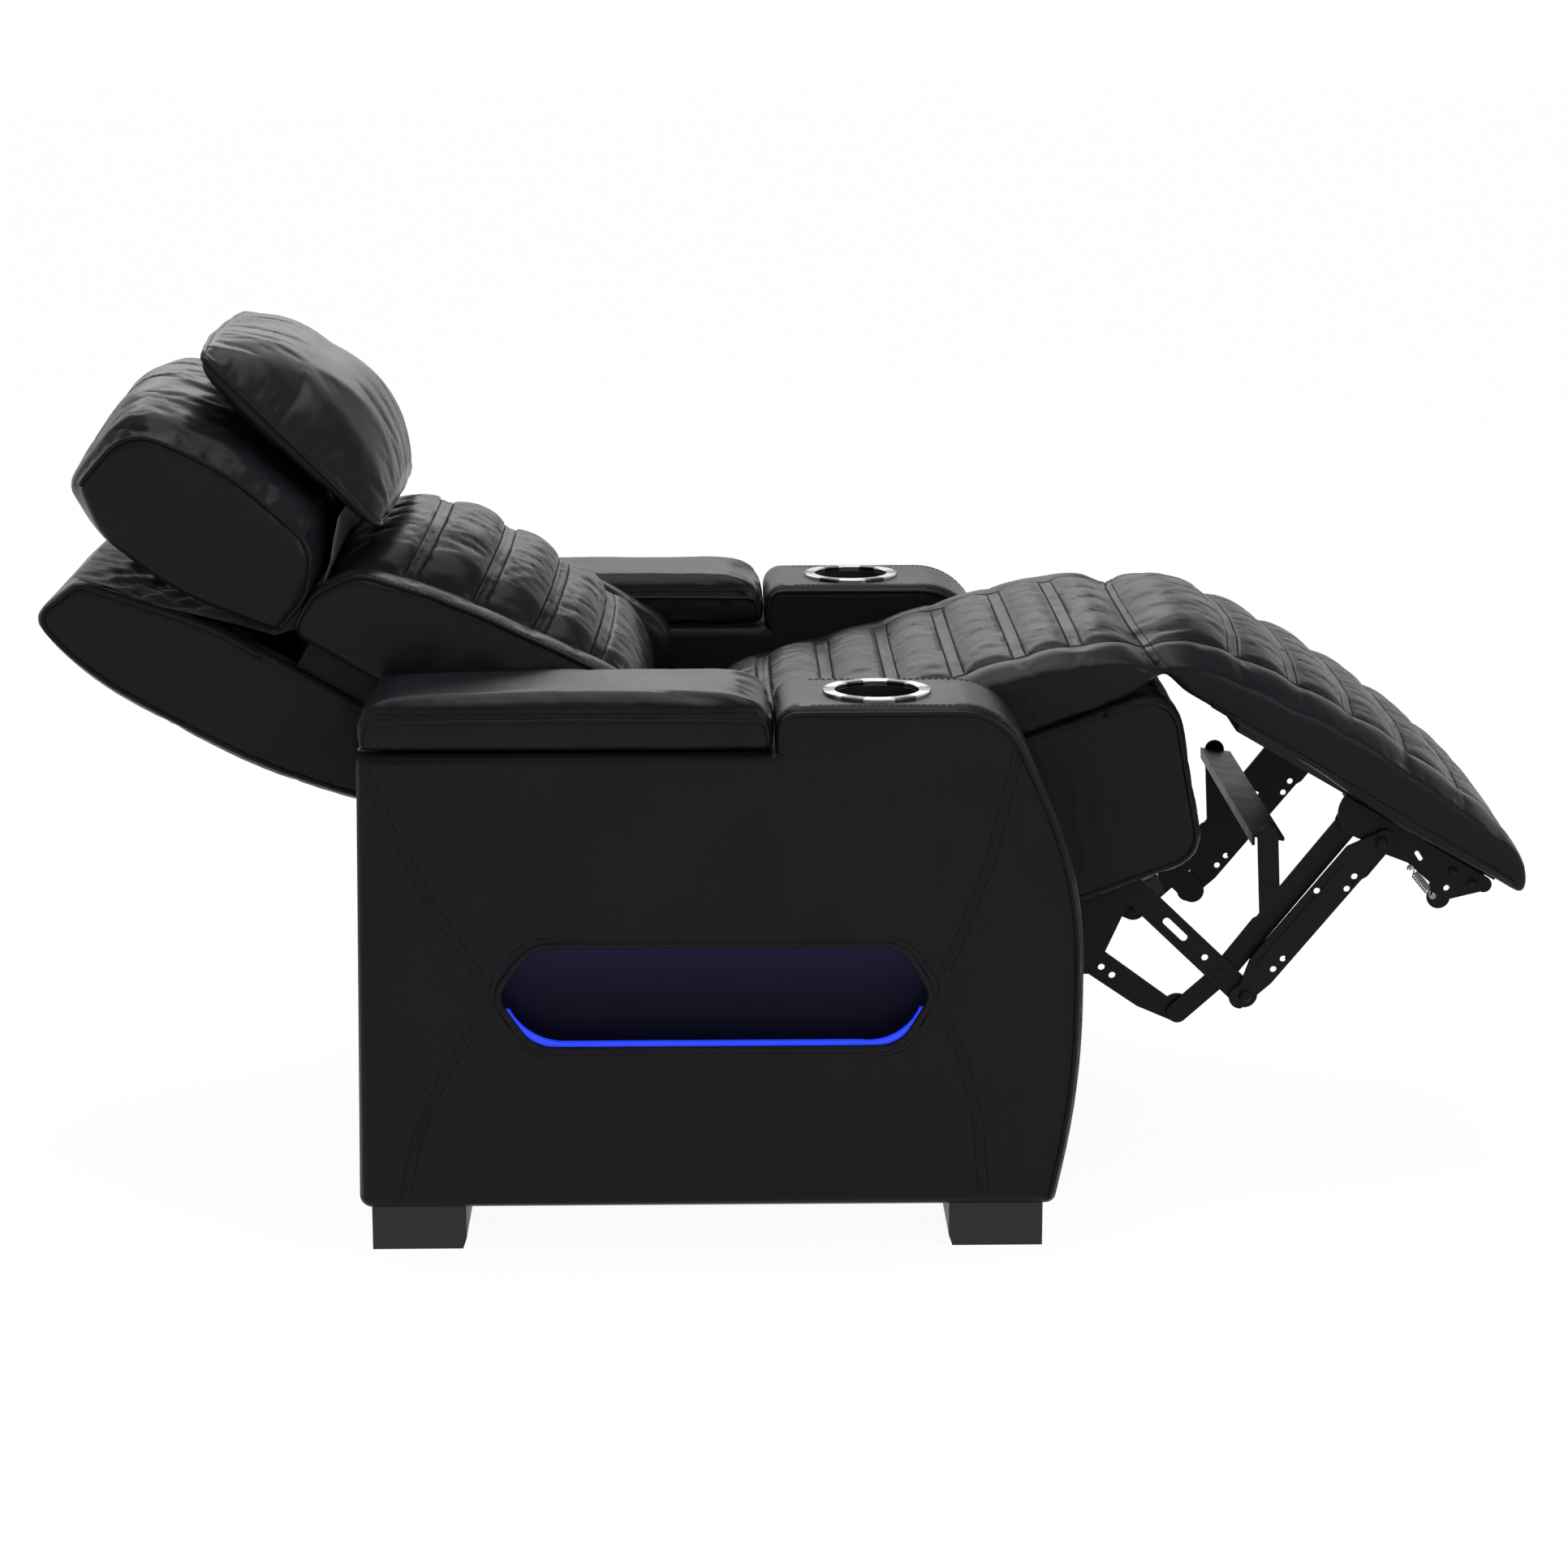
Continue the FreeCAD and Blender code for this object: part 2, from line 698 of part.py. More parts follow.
def make_seat_plates():
    """Steel side plates of the seat with rollers, pivot pins and the back hinge."""
    at = seat_frame.inverse().multVec(vec(0, *back_hinge))
    hinge = (at.y, at.z)
    start = (104.0, -10.0)
    steps = [
        (104.0, -196.0),
        (178.0, -272.0),
        ((198.0, -286.0), (218.0, -276.0)),
        (250.0, -250.0),
        (352.0, -252.0),
        ((370.0, -259.0), (388.0, -252.0)),
        (654.0, -252.0),
        ((690.0, -253.0), (691.0, -220.0)),
        (612.0, 62.0),
        ((hinge[0], hinge[1] + 21), (573.0, 62.0)),
        (562.0, 20.0),
        (561.0, -10.0),
        (104.0, -10.0),
    ]
    side = slab(start, steps, *plate_x)
    side = side.cut(slab((260.0, -60.0), [(500.0, -60.0), (500.0, -150.0), (300.0, -200.0)],
                         plate_x[0] - 1, plate_x[1] + 1))
    side = side.cut(rod(plate_x[0] - 1, plate_x[1] + 1, pivot_drop, 10.0 + pin_gap))
    parts = [side]
    for roller in (roller_front, roller_rear):
        pin = rod(plate_x[1], track_x[1] + 3, roller, 5.0)
        wheel = rod(track_x[0] - 2, track_x[1] + 2, roller, roller_radius)
        parts.append(pin.fuse(wheel))
    parts.append(rod(inner_x[0] - 2, plate_x[0], pivot_rear, 6.0))
    parts.append(rod(plate_x[1], outer_x[1] + 2, hinge, 7.0))
    whole = parts[0]
    for item in parts[1:]:
        whole = whole.fuse(item)
    whole = placed(whole, seat_frame)
    save("seat_plate_left", whole)
    save("seat_plate_right", mirrored(whole))


def shape_link(p, q, corners, layer):
    """A sheet link drawn by shares along p to q and offsets beside it."""
    at = []
    for corner in corners:
        if isinstance(corner[0], tuple):
            at.append((between(p, q, *corner[0]), between(p, q, *corner[1])))
        else:
            at.append(between(p, q, *corner))
    return slab(at[0], at[1:], *layer)


def make_links():
    """The four links of each side, every one in a layer of its own."""
    p, q = pivot_rear, pivot_low
    corners = [(-0.03, -12.0), (0.86, -8.0), ((1.1, 2.0), (1.0, 13.0)), (0.68, 21.0),
               (0.16, 21.0), ((-0.1, 6.0), (-0.03, -12.0))]
    link = shape_link(p, q, corners, inner_x)
    link = drilled(link, inner_x, [between(p, q, 0.22, 6.0), between(p, q, 0.34, 7.0)], 4.0)
    link = drilled(link, inner_x, [p], 6.0 + pin_gap)
    low_end = rod(inner_x[0] - 1.2, inner_x[0], q, 8.0)
    save("short_rear_links", placed(both(link.fuse(low_end)), seat_frame))

    p, q = pivot_cross, pivot_board_rear
    corners = [(-0.05, -13.0), (0.32, -14.0), (0.34, -12.0), (0.45, -12.0), (0.47, -14.0),
               (0.96, -14.0), ((1.07, 0.0), (0.96, 14.0)), (0.0, 13.0)]
    link = shape_link(p, q, corners, plate_x)
    tail = strap(pivot_cross, pivot_low, 24.0, plate_x)
    riser = strap(between(p, q, 0.38), bar_local, 24.0, plate_x)
    link = link.fuse(tail).fuse(riser)
    link = drilled(link, plate_x, [pivot_cross], 6.0 + pin_gap)
    link = link.fuse(rod(plate_x[0] - 1.0, plate_x[0], pivot_board_rear, 8.0))
    save("long_links", placed(both(link), seat_frame))
    channel = slab((bar_local[0] - 18, bar_local[1] - 9),
                   [(bar_local[0] + 16, bar_local[1] + 9), (bar_local[0] + 20, bar_local[1] - 4),
                    (bar_local[0] + 17, bar_local[1] - 5), (bar_local[0] + 14, bar_local[1] + 4),
                    (bar_local[0] - 16, bar_local[1] - 12)], -plate_x[0], plate_x[0])
    save("stabiliser_bar", placed(channel, seat_frame))

    p, q = pivot_drop, pivot_foot
    link = strap(p, q, 30.0, outer_x)
    slot = strap(between(p, q, 0.41), between(p, q, 0.54), 9.0, (outer_x[0] - 1, outer_x[1] + 1))
    link = link.cut(slot)
    link = drilled(link, outer_x, [between(p, q, 0.7)], 4.0)
    link = link.fuse(rod(plate_x[0], outer_x[0], pivot_cross, 6.0))
    link = link.fuse(rod(outer_x[1], label_x[1] + 1.4, pivot_foot, 6.0))
    link = link.fuse(rod(outer_x[1], outer_x[1] + 1.2, pivot_cross, 8.0))
    tube = rod(-outer_x[1], outer_x[1], p, 10.0)
    tube = tube.cut(rod(-outer_x[1] - 1, outer_x[1] + 1, p, 7.0))
    tip = (p[0] - 36.0, p[1] - 66.0)
    cranks = []
    for x in (-20.0, 12.0):
        arm = strap(p, tip, 20.0, (x, x + 8.0)).cut(rod(x - 1, x + 9, p, 8.0))
        cranks.append(arm)
    pin = rod(-20.0, 20.0, tip, 5.0)
    pair = both(link)
    whole = pair.Solids[0].fuse(pair.Solids[1]).fuse(tube).fuse(cranks[0]).fuse(cranks[1])
    save("drop_links", placed(whole.fuse(pin), seat_frame))

    p, q = pivot_foot, pivot_board
    corners = [(-0.06, 6.0), (0.13, 13.0), (0.8, 11.5), (0.83, 14.0), (1.02, 13.0),
               ((1.07, 2.0), (1.03, -10.0)), (0.96, -18.0), (0.88, -27.0), (0.16, -25.0),
               (0.02, -13.0), ((-0.075, -4.0), (-0.06, 6.0))]
    link = shape_link(p, q, corners, label_x)
    holes = [between(p, q, 0.19, 4.0), between(p, q, 0.26, 4.5), between(p, q, 0.62, -19.0),
             between(p, q, 0.79, 3.0), between(p, q, 0.72, 6.0)]
    link = drilled(link, label_x, holes, 3.8)
    rib = strap(between(p, q, 0.16, -13.0), between(p, q, 0.78, -14.0), 5.0,
                (label_x[1], label_x[1] + 1.5))
    link = drilled(link, label_x, [p], 6.0 + pin_gap)
    link = link.fuse(rib).fuse(rod(label_x[1], label_x[1] + 1.2, q, 8.0))
    save("wide_links", placed(both(link), seat_frame))


def make_drive():
    """Screw track with its motor under the seat, and the slider on the track."""
    track = box(-18.0, 18.0, 86.0, 520.0, -292.0, -272.0)
    track = track.cut(box(-13.0, 13.0, 85.0, 521.0, -289.0, -271.0))
    motor = Part.makeCylinder(27.0, 92.0, vec(0, 520, -265), vec(0, 1, 0))
    gear = box(-24.0, 24.0, 520.0, 552.0, -262.0, -205.0)
    hanger = box(-24.0, 24.0, 535.0, 544.0, -206.0, -110.0)
    cross = box(-plate_x[0], plate_x[0], 535.0, 544.0, -128.0, -111.0)
    nose = box(-plate_x[0], plate_x[0], 300.0, 312.0, -272.0, -250.0)
    whole = track.fuse(motor).fuse(gear).fuse(hanger).fuse(cross).fuse(nose)
    save("recline_motor", placed(whole, seat_frame))
    tip = (pivot_drop[0] - 36.0, pivot_drop[1] - 66.0)
    block = box(-12.0, 12.0, tip[0] - 12, tip[0] + 12, -288.6, -270.0)
    left = box(-10.0, 10.0, tip[0] - 12, tip[0] - 8.5, -270.0, -240.0)
    right = box(-10.0, 10.0, tip[0] + 8.5, tip[0] + 12, -270.0, -240.0)
    save("drive_slider", placed(block.fuse(left).fuse(right), seat_frame))


# Underside and top of the leg rest board in its own frame
board_low = 4.0
board_top = 16.0


def make_leg_rest():
    high_top = [(119.0, 36.0), (98.0, 67.0), (60.0, 88.0), (15.0, 95.0), (-60.0, 99.0),
                (-135.0, 99.0), (-210.0, 94.0), (-285.0, 83.0), (-336.0, 70.0)]
    low_top = [(92.0, 29.0), (78.0, 43.0), (52.0, 53.0), (10.0, 60.0), (-60.0, 68.0),
               (-135.0, 73.0), (-210.0, 69.0), (-285.0, 64.0), (-342.0, 56.0)]
    low = leg_outline(low_top, 2.0)
    high = leg_outline(high_top, 6.0)
    pad = cushion(low, high, seat_half - 1, chaise_shares, 5.0)
    x = board_half
    gap = board_gap
    board_y = (-380.0, -30.0)
    recess = box(-x - gap, x + gap, board_y[0] - gap, board_y[1] + gap, -40.0, board_top)
    pad = pad.cut(recess)
    save("footrest_pad", placed(pad, foot_frame))
    board = box(-x, x, *board_y, board_low, board_top)
    save("footrest_board", placed(board, foot_frame))


def leg_outline(top, rise):
    """Side view of the leg rest pad, knee end first, in the leg rest frame."""
    steps = channels(top, rise)
    steps.append(((-384.0, 45.0), (-404.0, 22.0)))
    steps.append(((-403.0, 13.0), (-394.0, 10.0)))
    steps.append((-234.0, 6.0))
    steps.append((-140.0, 14.0))
    steps.append((-20.0, 18.0))
    steps.append((56.0, 18.0))
    return top[0], steps


def make_brackets():
    """Side brackets under the leg rest board with their tension springs."""
    a = seat_to_foot(pivot_board_rear)
    b = seat_to_foot(pivot_board)
    start = (a[0] + 22.0, board_low)
    steps = [
        (-368.0, board_low),
        ((-378.0, -4.0), (-370.0, -14.0)),
        (-344.0, -39.0),
        ((-330.0, -57.0), (-318.0, -44.0)),
        (-314.0, -34.0),
        (-279.0, -27.0),
        (b[0] - 14, b[1] - 10),
        ((b[0], b[1] - 15), (b[0] + 14, b[1] - 9)),
        (a[0] + 2, a[1] - 13),
        ((a[0] + 14, a[1] - 4), (a[0] + 22, board_low)),
    ]
    side = slab(start, steps, *outer_x)
    side = drilled(side, outer_x, [(-334.0, -30.0), (-324.0, -46.0)], 3.6)
    side = side.cut(strap((-282.0, -12.0), (-290.0, -16.0), 5.0, (outer_x[0] - 1, outer_x[1] + 1)))
    flange = box(outer_x[0] - 22, outer_x[1], -366.0, a[0] + 20.0, board_low - 3.0, board_low)
    side = side.fuse(flange)
    for point in ((-356.0, -10.0), (-330.0, -10.0)):
        side = side.fuse(rod(outer_x[1], outer_x[1] + 2.0, point, 6.0))
    side = side.fuse(rod(outer_x[0] - 1.0, outer_x[0], b, 8.0))
    save("footrest_brackets", placed(both(side), foot_frame))


def round_corner(p, corner, q):
    """Middle of the arc that joins two tangents of equal length at their corner."""
    middle = (p + q) * 0.5
    reach = (p - corner).Length
    sine = (p - middle).Length / reach
    cosine = (corner - middle).Length / reach
    away = middle - corner
    away.normalize()
    return corner + away * (reach * (1 - sine) / cosine)


def biarc(p, along_p, q, along_q):
    """Two arcs that join in line, from a point and way to the next."""
    gap = q - p
    both_ways = along_p + along_q
    spread = 2 * (1 - along_p.dot(along_q))
    lean = gap.dot(both_ways)
    if spread < 1e-9:
        return [Part.LineSegment(p, q).toShape()]
    reach = (-lean + math.sqrt(lean * lean + spread * gap.dot(gap))) / spread
    a = p + along_p * reach
    b = q - along_q * reach
    joint = (a + b) * 0.5
    first = Part.Arc(p, round_corner(p, a, joint), joint)
    second = Part.Arc(joint, round_corner(joint, b, q), q)
    return [first.toShape(), second.toShape()]


def coil_stations(x, low, high, radius, turns, loop):
    """Points and ways of a tension spring: hook, coils by quarter turns, hook."""
    length = math.dist(low, high)
    along = vec(0, (high[0] - low[0]) / length, (high[1] - low[1]) / length)
    side = vec(1, 0, 0)
    other = along.cross(side)
    low_at = vec(x, low[0], low[1])
    high_at = vec(x, high[0], high[1])
    body = length * 0.60
    foot = low_at + along * (length * 0.20)
    stations = [(low_at - other * loop, along * -1), (low_at - along * loop, other)]
    stations.append((low_at + other * loop, along))
    climb = body / (turns * 2 * math.pi * radius)
    for index in range(turns * 4 + 1):
        angle = math.pi / 2 * index
        out = side * math.cos(angle) + other * math.sin(angle)
        way = other * math.cos(angle) - side * math.sin(angle) + along * climb
        way.normalize()
        stations.append((foot + along * (body * index / (turns * 4)) + out * radius, way))
    stations.append((high_at - other * loop, along))
    stations.append((high_at + along * loop, other))
    stations.append((high_at + other * loop, along * -1))
    return stations


def least_gap(stations, edges, wire):
    """Least free space between turns of the coil, measured on points."""
    points = []
    for edge in edges:
        points.extend(edge.discretize(9)[:-1])
    best = 1e9
    for index, point in enumerate(points):
        travelled = 0.0
        before = point
        for other in points[index + 1:]:
            travelled += (other - before).Length
            before = other
            if travelled > 6 * wire:
                best = min(best, (other - point).Length - 2 * wire)
    return best


def make_springs():
    wire = 0.8
    pin = 2.2
    x = outer_x[1] + 6.4
    low = (-323.0, -45.0)
    high = (-283.0, -30.0)
    stations = coil_stations(x, low, high, 4.4, 9, pin + wire + 0.3)
    edges = []
    for a, b in zip(stations, stations[1:]):
        edges.extend(biarc(a[0], a[1], b[0], b[1]))
    circle = Part.makeCircle(wire, stations[0][0], stations[0][1])
    coil = Part.Wire(edges).makePipeShell([Part.Wire(circle)], True, False)
    print("spring gap", round(least_gap(stations, edges, wire), 2), "valid", coil.isValid())
    pins = [rod(outer_x[1], x + 2.0, point, pin) for point in (low, high)]
    save("return_springs", [placed(both(item), foot_frame) for item in [coil] + pins])


# Underside of the side bolsters in the back frame
bolster_foot = -31.0


def make_back():
    corners = [
        (20.0, -62.0, 0),
        (20.0, -94.0, 0),
        (420.0, -186.0, 900.0),
        (640.0, -188.0, 350.0),
        (724.0, -158.0, 16.0),
        (698.0, -92.0, 16.0),
        (545.0, -61.5, 300.0),
    ]
    shell = padded_block(corners, -back_half, back_half, 10.0)
    room_steps = [(21.0, -84.0), (300.0, -136.0), (470.0, -164.0), (600.0, -165.0),
                  (690.0, -150.0), (682.0, -40.0), (0.0, -40.0)]
    inside = back_half - shell_wall
    shell = shell.cut(slab((0.0, -84.0), room_steps, -inside, inside))
    save("back_shell", placed(shell, back_frame_at))

    lug = rod(outer_x[0], outer_x[1], (0.0, 0.0), 22.0)
    upright = slab((12.0, -62.0), [(548.0, -64.0), (548.0, -84.0), (12.0, -80.0)],
                   outer_x[0], inside - wall_gap)
    neck = slab((-14.0, 16.0), [(-20.0, -14.0), (20.0, -80.0), (110.0, -80.0), (110.0, -62.0),
                (37.0, -38.0), (34.0, -6.0), (20.0, 12.0)], *outer_x)
    wing = box(bolster_x + layer_gap, inside - wall_gap, 60.0, 440.0, -62.0, bolster_foot)
    side = lug.fuse(upright).fuse(neck).fuse(wing)
    side = side.cut(rod(outer_x[0] - 1, outer_x[1] + 1, (0.0, 0.0), 7.0 + pin_gap))
    rails = []
    for u in (60.0, 300.0, 500.0):
        rails.append(box(-outer_x[0], outer_x[0], u, u + 26.0, -82.0, -62.0))
    frame_body = both(side)
    whole = frame_body.Solids[0].fuse(frame_body.Solids[1])
    for rail in rails:
        whole = whole.fuse(rail)
    pin = rod(-60.0, 60.0, headrest_pivot, 5.0)
    for x in (-60.0, 52.0):
        ear = box(x, x + 8.0, 500.0, 563.0, -66.0, -49.0)
        whole = whole.fuse(ear)
    whole = whole.fuse(pin)
    save("back_frame", placed(whole, back_frame_at))

    top_low = [(452.0, 48.0), (425.0, 76.0), (377.0, 86.0), (296.0, 94.0), (220.0, 99.0),
               (150.0, 102.0), (104.0, 98.0), (74.0, 78.0)]
    top_high = [(454.0, 56.0), (424.0, 102.0), (377.0, 136.0), (296.0, 143.0), (220.0, 139.0),
                (150.0, 128.0), (100.0, 108.0), (72.0, 82.0)]
    low = back_outline(top_low, 3.0)
    high = back_outline(top_high, 8.0)
    pad = cushion(low, high, bolster_x, ((0.95, 0.1), (0.85, 0.5), (0.5, 0.86), (0.2, 1.0)))
    save("back_cushion", placed(pad, back_frame_at))

    corners = [
        (40.0, bolster_foot, 8.0),
        (464.0, bolster_foot, 14.0),
        (466.0, 22.0, 40.0),
        (436.0, 68.0, 50.0),
        (330.0, 92.0, 600.0),
        (150.0, 108.0, 300.0),
        (40.0, 106.0, 40.0),
    ]
    bolster = padded_block(corners, bolster_x + soft_gap + wall_gap, back_half, 13.0)
    save("back_bolster_left", placed(bolster, back_frame_at))
    save("back_bolster_right", placed(mirrored(bolster), back_frame_at))


def back_outline(top, rise):
    """Side view of the inner back cushion, its top end first."""
    steps = channels(top, rise)
    steps = steps + [((50.0, 44.0), (44.0, 0.0)), (44.0, -61.5), (448.0, -61.5)]
    steps.append(crest((448.0, -61.5), top[0], 4.0))
    return top[0], steps


def make_headrest():
    low = [
        (748.0, 0.0, 14.0),
        (730.0, 86.0, 55.0),
        (620.0, 98.0, 300.0),
        (492.0, 74.0, 50.0),
        (466.0, 18.0, 40.0),
        (474.0, -35.0, 8.0),
        (600.0, -55.0, 320.0),
        (700.0, -38.0, 60.0),
    ]
    high = [
        (768.0, -32.0, 8.0),
        (758.0, 112.0, 60.0),
        (650.0, 150.0, 200.0),
        (490.0, 112.0, 60.0),
        (464.0, 30.0, 50.0),
        (474.0, -35.0, 8.0),
        (600.0, -55.0, 320.0),
        (730.0, -42.0, 100.0),
    ]
    shares = ((0.955, 0.0), (0.85, 0.45), (0.55, 0.85), (0.2, 1.0))
    block = crowned_block(low, high, seat_half, shares, 8.0)
    slot = box(-70.0, 70.0, 540.0, 720.0, -80.0, -30.0)
    block = block.cut(slot)
    save("headrest_block", placed(block, back_frame_at))

    frame_plate = box(-50.0, 50.0, 566.0, 700.0, -38.0, -34.0)
    whole = frame_plate
    for x in (-50.0, 46.0):
        ear = slab((545.0, -66.0), [(562.0, -68.0), (640.0, -38.0), (566.0, -34.0), (544.0, -46.0)],
                   x, x + 4.0)
        ear = ear.cut(rod(x - 1, x + 5, headrest_pivot, 5.0 + pin_gap))
        whole = whole.fuse(ear)
    whole = whole.fuse(box(-70.0, 70.0, 600.0, 690.0, -38.0, -30.0))
    whole = whole.fuse(box(-12.0, 12.0, 611.0, 615.0, -98.0, -34.0))
    save("headrest_frame", placed(whole, back_frame_at))

    high = ((706.0, 196.0), [
        ((660.0, 222.0), (590.0, 221.0)),
        ((486.0, 200.0), (428.0, 128.0)),
        ((440.0, 120.0), (470.0, 124.0)),
        ((600.0, 144.0), (660.0, 159.0)),
        ((694.0, 172.0), (706.0, 196.0)),
    ])
    low = ((702.0, 190.0), [
        ((650.0, 176.0), (590.0, 160.0)),
        ((500.0, 138.0), (434.0, 118.0)),
        ((446.0, 113.0), (470.0, 116.0)),
        ((600.0, 144.0), (660.0, 162.0)),
        ((690.0, 175.0), (702.0, 190.0)),
    ])
    pillow = cushion(low, high, seat_half - pillow_inset, ((0.96, 0.12), (0.9, 0.35), (0.8, 0.62), (0.5, 0.92),
                                        (0.2, 1.0)), 2.0)
    save("head_pillow", placed(pillow, back_frame_at))

    case = box(-20.0, 20.0, 330.0, 400.0, -112.0, -64.0)
    barrel = Part.makeCylinder(11.0, 96.0, vec(0, 400, -88), vec(0, 1, 0))
    barrel = barrel.cut(Part.makeCylinder(6.0 + pin_gap, 80.0, vec(0, 417, -88), vec(0, 1, 0)))
    strut = box(-20.0, 20.0, 326.0, 340.0, -80.0, -66.0)
    save("headrest_motor", placed(case.fuse(barrel).fuse(strut), back_frame_at))
    rod_body = Part.makeCylinder(6.0, 172.0, vec(0, 438, -88), vec(0, 1, 0))
    save("headrest_rod", placed(rod_body, back_frame_at))


def main():
    os.makedirs("parts", exist_ok=True)
    make_arms()
    make_cups()
    make_pockets()
    make_feet()
    make_base()
    make_controls()
    make_lids()
    make_seat()
    make_seat_plates()
    make_links()
    make_drive()
    make_leg_rest()
    make_brackets()
    make_springs()
    make_back()
    make_headrest()


main()
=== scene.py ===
import json
import math

import bmesh
import bpy
from bpy.props import FloatProperty, FloatVectorProperty, IntProperty, PointerProperty
from mathutils import Matrix, Vector, noise
from mathutils.bvhtree import BVHTree
from mathutils.kdtree import KDTree


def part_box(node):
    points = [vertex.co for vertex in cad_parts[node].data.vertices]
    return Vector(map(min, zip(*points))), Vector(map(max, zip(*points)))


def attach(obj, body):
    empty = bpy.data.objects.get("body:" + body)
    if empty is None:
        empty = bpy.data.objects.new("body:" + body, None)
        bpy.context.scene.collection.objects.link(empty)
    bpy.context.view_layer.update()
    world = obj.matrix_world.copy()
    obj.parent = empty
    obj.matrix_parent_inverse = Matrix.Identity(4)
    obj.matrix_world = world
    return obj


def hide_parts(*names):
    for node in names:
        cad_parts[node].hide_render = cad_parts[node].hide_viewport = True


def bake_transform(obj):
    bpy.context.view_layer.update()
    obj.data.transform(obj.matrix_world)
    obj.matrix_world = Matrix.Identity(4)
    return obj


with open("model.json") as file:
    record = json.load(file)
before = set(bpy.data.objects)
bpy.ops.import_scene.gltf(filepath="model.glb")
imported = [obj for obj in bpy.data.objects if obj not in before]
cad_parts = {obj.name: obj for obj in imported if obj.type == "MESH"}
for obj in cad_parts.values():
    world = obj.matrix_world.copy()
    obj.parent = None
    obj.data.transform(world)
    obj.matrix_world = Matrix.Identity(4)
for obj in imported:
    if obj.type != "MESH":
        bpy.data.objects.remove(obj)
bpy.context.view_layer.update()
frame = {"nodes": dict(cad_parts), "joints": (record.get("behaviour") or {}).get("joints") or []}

bl_info = {
    "name": "Cinema recliner seat",
    "version": (1, 0, 0),
    "blender": (4, 5, 0),
    "location": "View3D > Sidebar > Recliner",
    "description": "Dresses the frame of a powered cinema recliner in leather, thread, steel and light",
    "category": "Object",
}

MM = 0.001
X_AXIS = Vector((1.0, 0.0, 0.0))
SIDES = (("right", -1.0), ("left", 1.0))


def pivot(name):
    """Where a joint's axis crosses the middle of the seat, in the row frame."""
    joint = next(j for j in frame["joints"] if j["name"] == name)
    return Vector(joint["pos_m"])


class Side:
    """A side view of its own: across the seat, along it and out of its face, in millimetres."""

    def __init__(self, origin, tilt):
        self.origin = Vector((0.0, origin.y, origin.z))
        self.along = Vector((0.0, math.cos(tilt), math.sin(tilt)))
        self.out = Vector((0.0, -math.sin(tilt), math.cos(tilt)))

    def at(self, x, along, out):
        return self.origin + (X_AXIS * x + self.along * along + self.out * out) * MM

    def to(self, point):
        """Across, along and out of a point of the row frame, in millimetres."""
        away = (point - self.origin) / MM
        return away.x, away.dot(self.along), away.dot(self.out)


KNEE_IN_SEAT = (-24.2, -59.8)
HINGE_IN_CHAIR = (60.0, 455.0)
SEAT_TILT = math.radians(-20.0)
LEG_TILT = math.radians(30.3)
BACK_TILT = math.radians(30.0)

leg_side = Side(pivot("leg_rest_fold"), LEG_TILT)
back_side = Side(pivot("back_recline"), BACK_TILT)
seat_turned = Side(pivot("leg_rest_fold"), SEAT_TILT)
seat_side = Side(seat_turned.at(0.0, -KNEE_IN_SEAT[0], -KNEE_IN_SEAT[1]), SEAT_TILT)
upright = Side(pivot("back_recline"), 0.0)
chair_side = Side(upright.at(0.0, -HINGE_IN_CHAIR[0], -HINGE_IN_CHAIR[1]), 0.0)


# Sizes and colours that a user would change
class ReclinerFinish(bpy.types.PropertyGroup):
    # The leather's own near-black colour, with a faint blue cast that is painted sheen
    leather: FloatVectorProperty(
        name="Leather", description="Colour of the leather", subtype="COLOR", default=(0.0098, 0.0102, 0.0126))
    thread: FloatVectorProperty(
        name="Thread", description="Colour of the stitches", subtype="COLOR", default=(0.006, 0.006, 0.007))
    glow: FloatVectorProperty(
        name="Glow", description="Colour of the light strip", subtype="COLOR", default=(0.012, 0.05, 1.0))
    glow_strength: FloatProperty(
        name="Glow strength", description="Brightness of the light strip", default=0.9, min=0.0)


def length_of(name, description, default, least):
    """A length property, given in millimetres."""
    return FloatProperty(
        name=name, description=description, default=default * MM, min=least * MM, unit="LENGTH")


class ReclinerSewing(bpy.types.PropertyGroup):
    welt: length_of("Welt", "Radius of the piping", 2.7, 1.0)
    stitch: length_of("Stitch", "Length of one stitch", 5.2, 1.0)
    pitch: length_of("Stitch pitch", "Distance from stitch to stitch", 7.0, 2.0)
    twin: length_of("Twin rows", "Distance between the two rows of a sewn channel", 14.0, 4.0)
    fill_frames: IntProperty(
        name="Fill frames", description="Steps of the simulation that fills the covers", default=18, min=2)


# Shader nodes
class Level:
    """A number socket that can stand in a sum."""

    def __init__(self, nodes, socket):
        self.nodes = nodes
        self.socket = socket

    def with_(self, operation, first, second, clamp=False):
        settings = {"operation": operation, "use_clamp": clamp}
        return self.nodes.node("ShaderNodeMath", settings, {0: first, 1: second})

    def __add__(self, other):
        return self.with_("ADD", self, other)

    __radd__ = __add__

    def __mul__(self, other):
        return self.with_("MULTIPLY", self, other)

    __rmul__ = __mul__

    def __sub__(self, other):
        return self.with_("SUBTRACT", self, other)

    def __rsub__(self, other):
        return self.with_("SUBTRACT", other, self)

    def __truediv__(self, other):
        return self.with_("DIVIDE", self, other)

    def above(self, edge, soft):
        """0 below an edge and 1 above it, with a soft step."""
        return self.with_("ADD", (self - edge) / soft, 0.5, True)


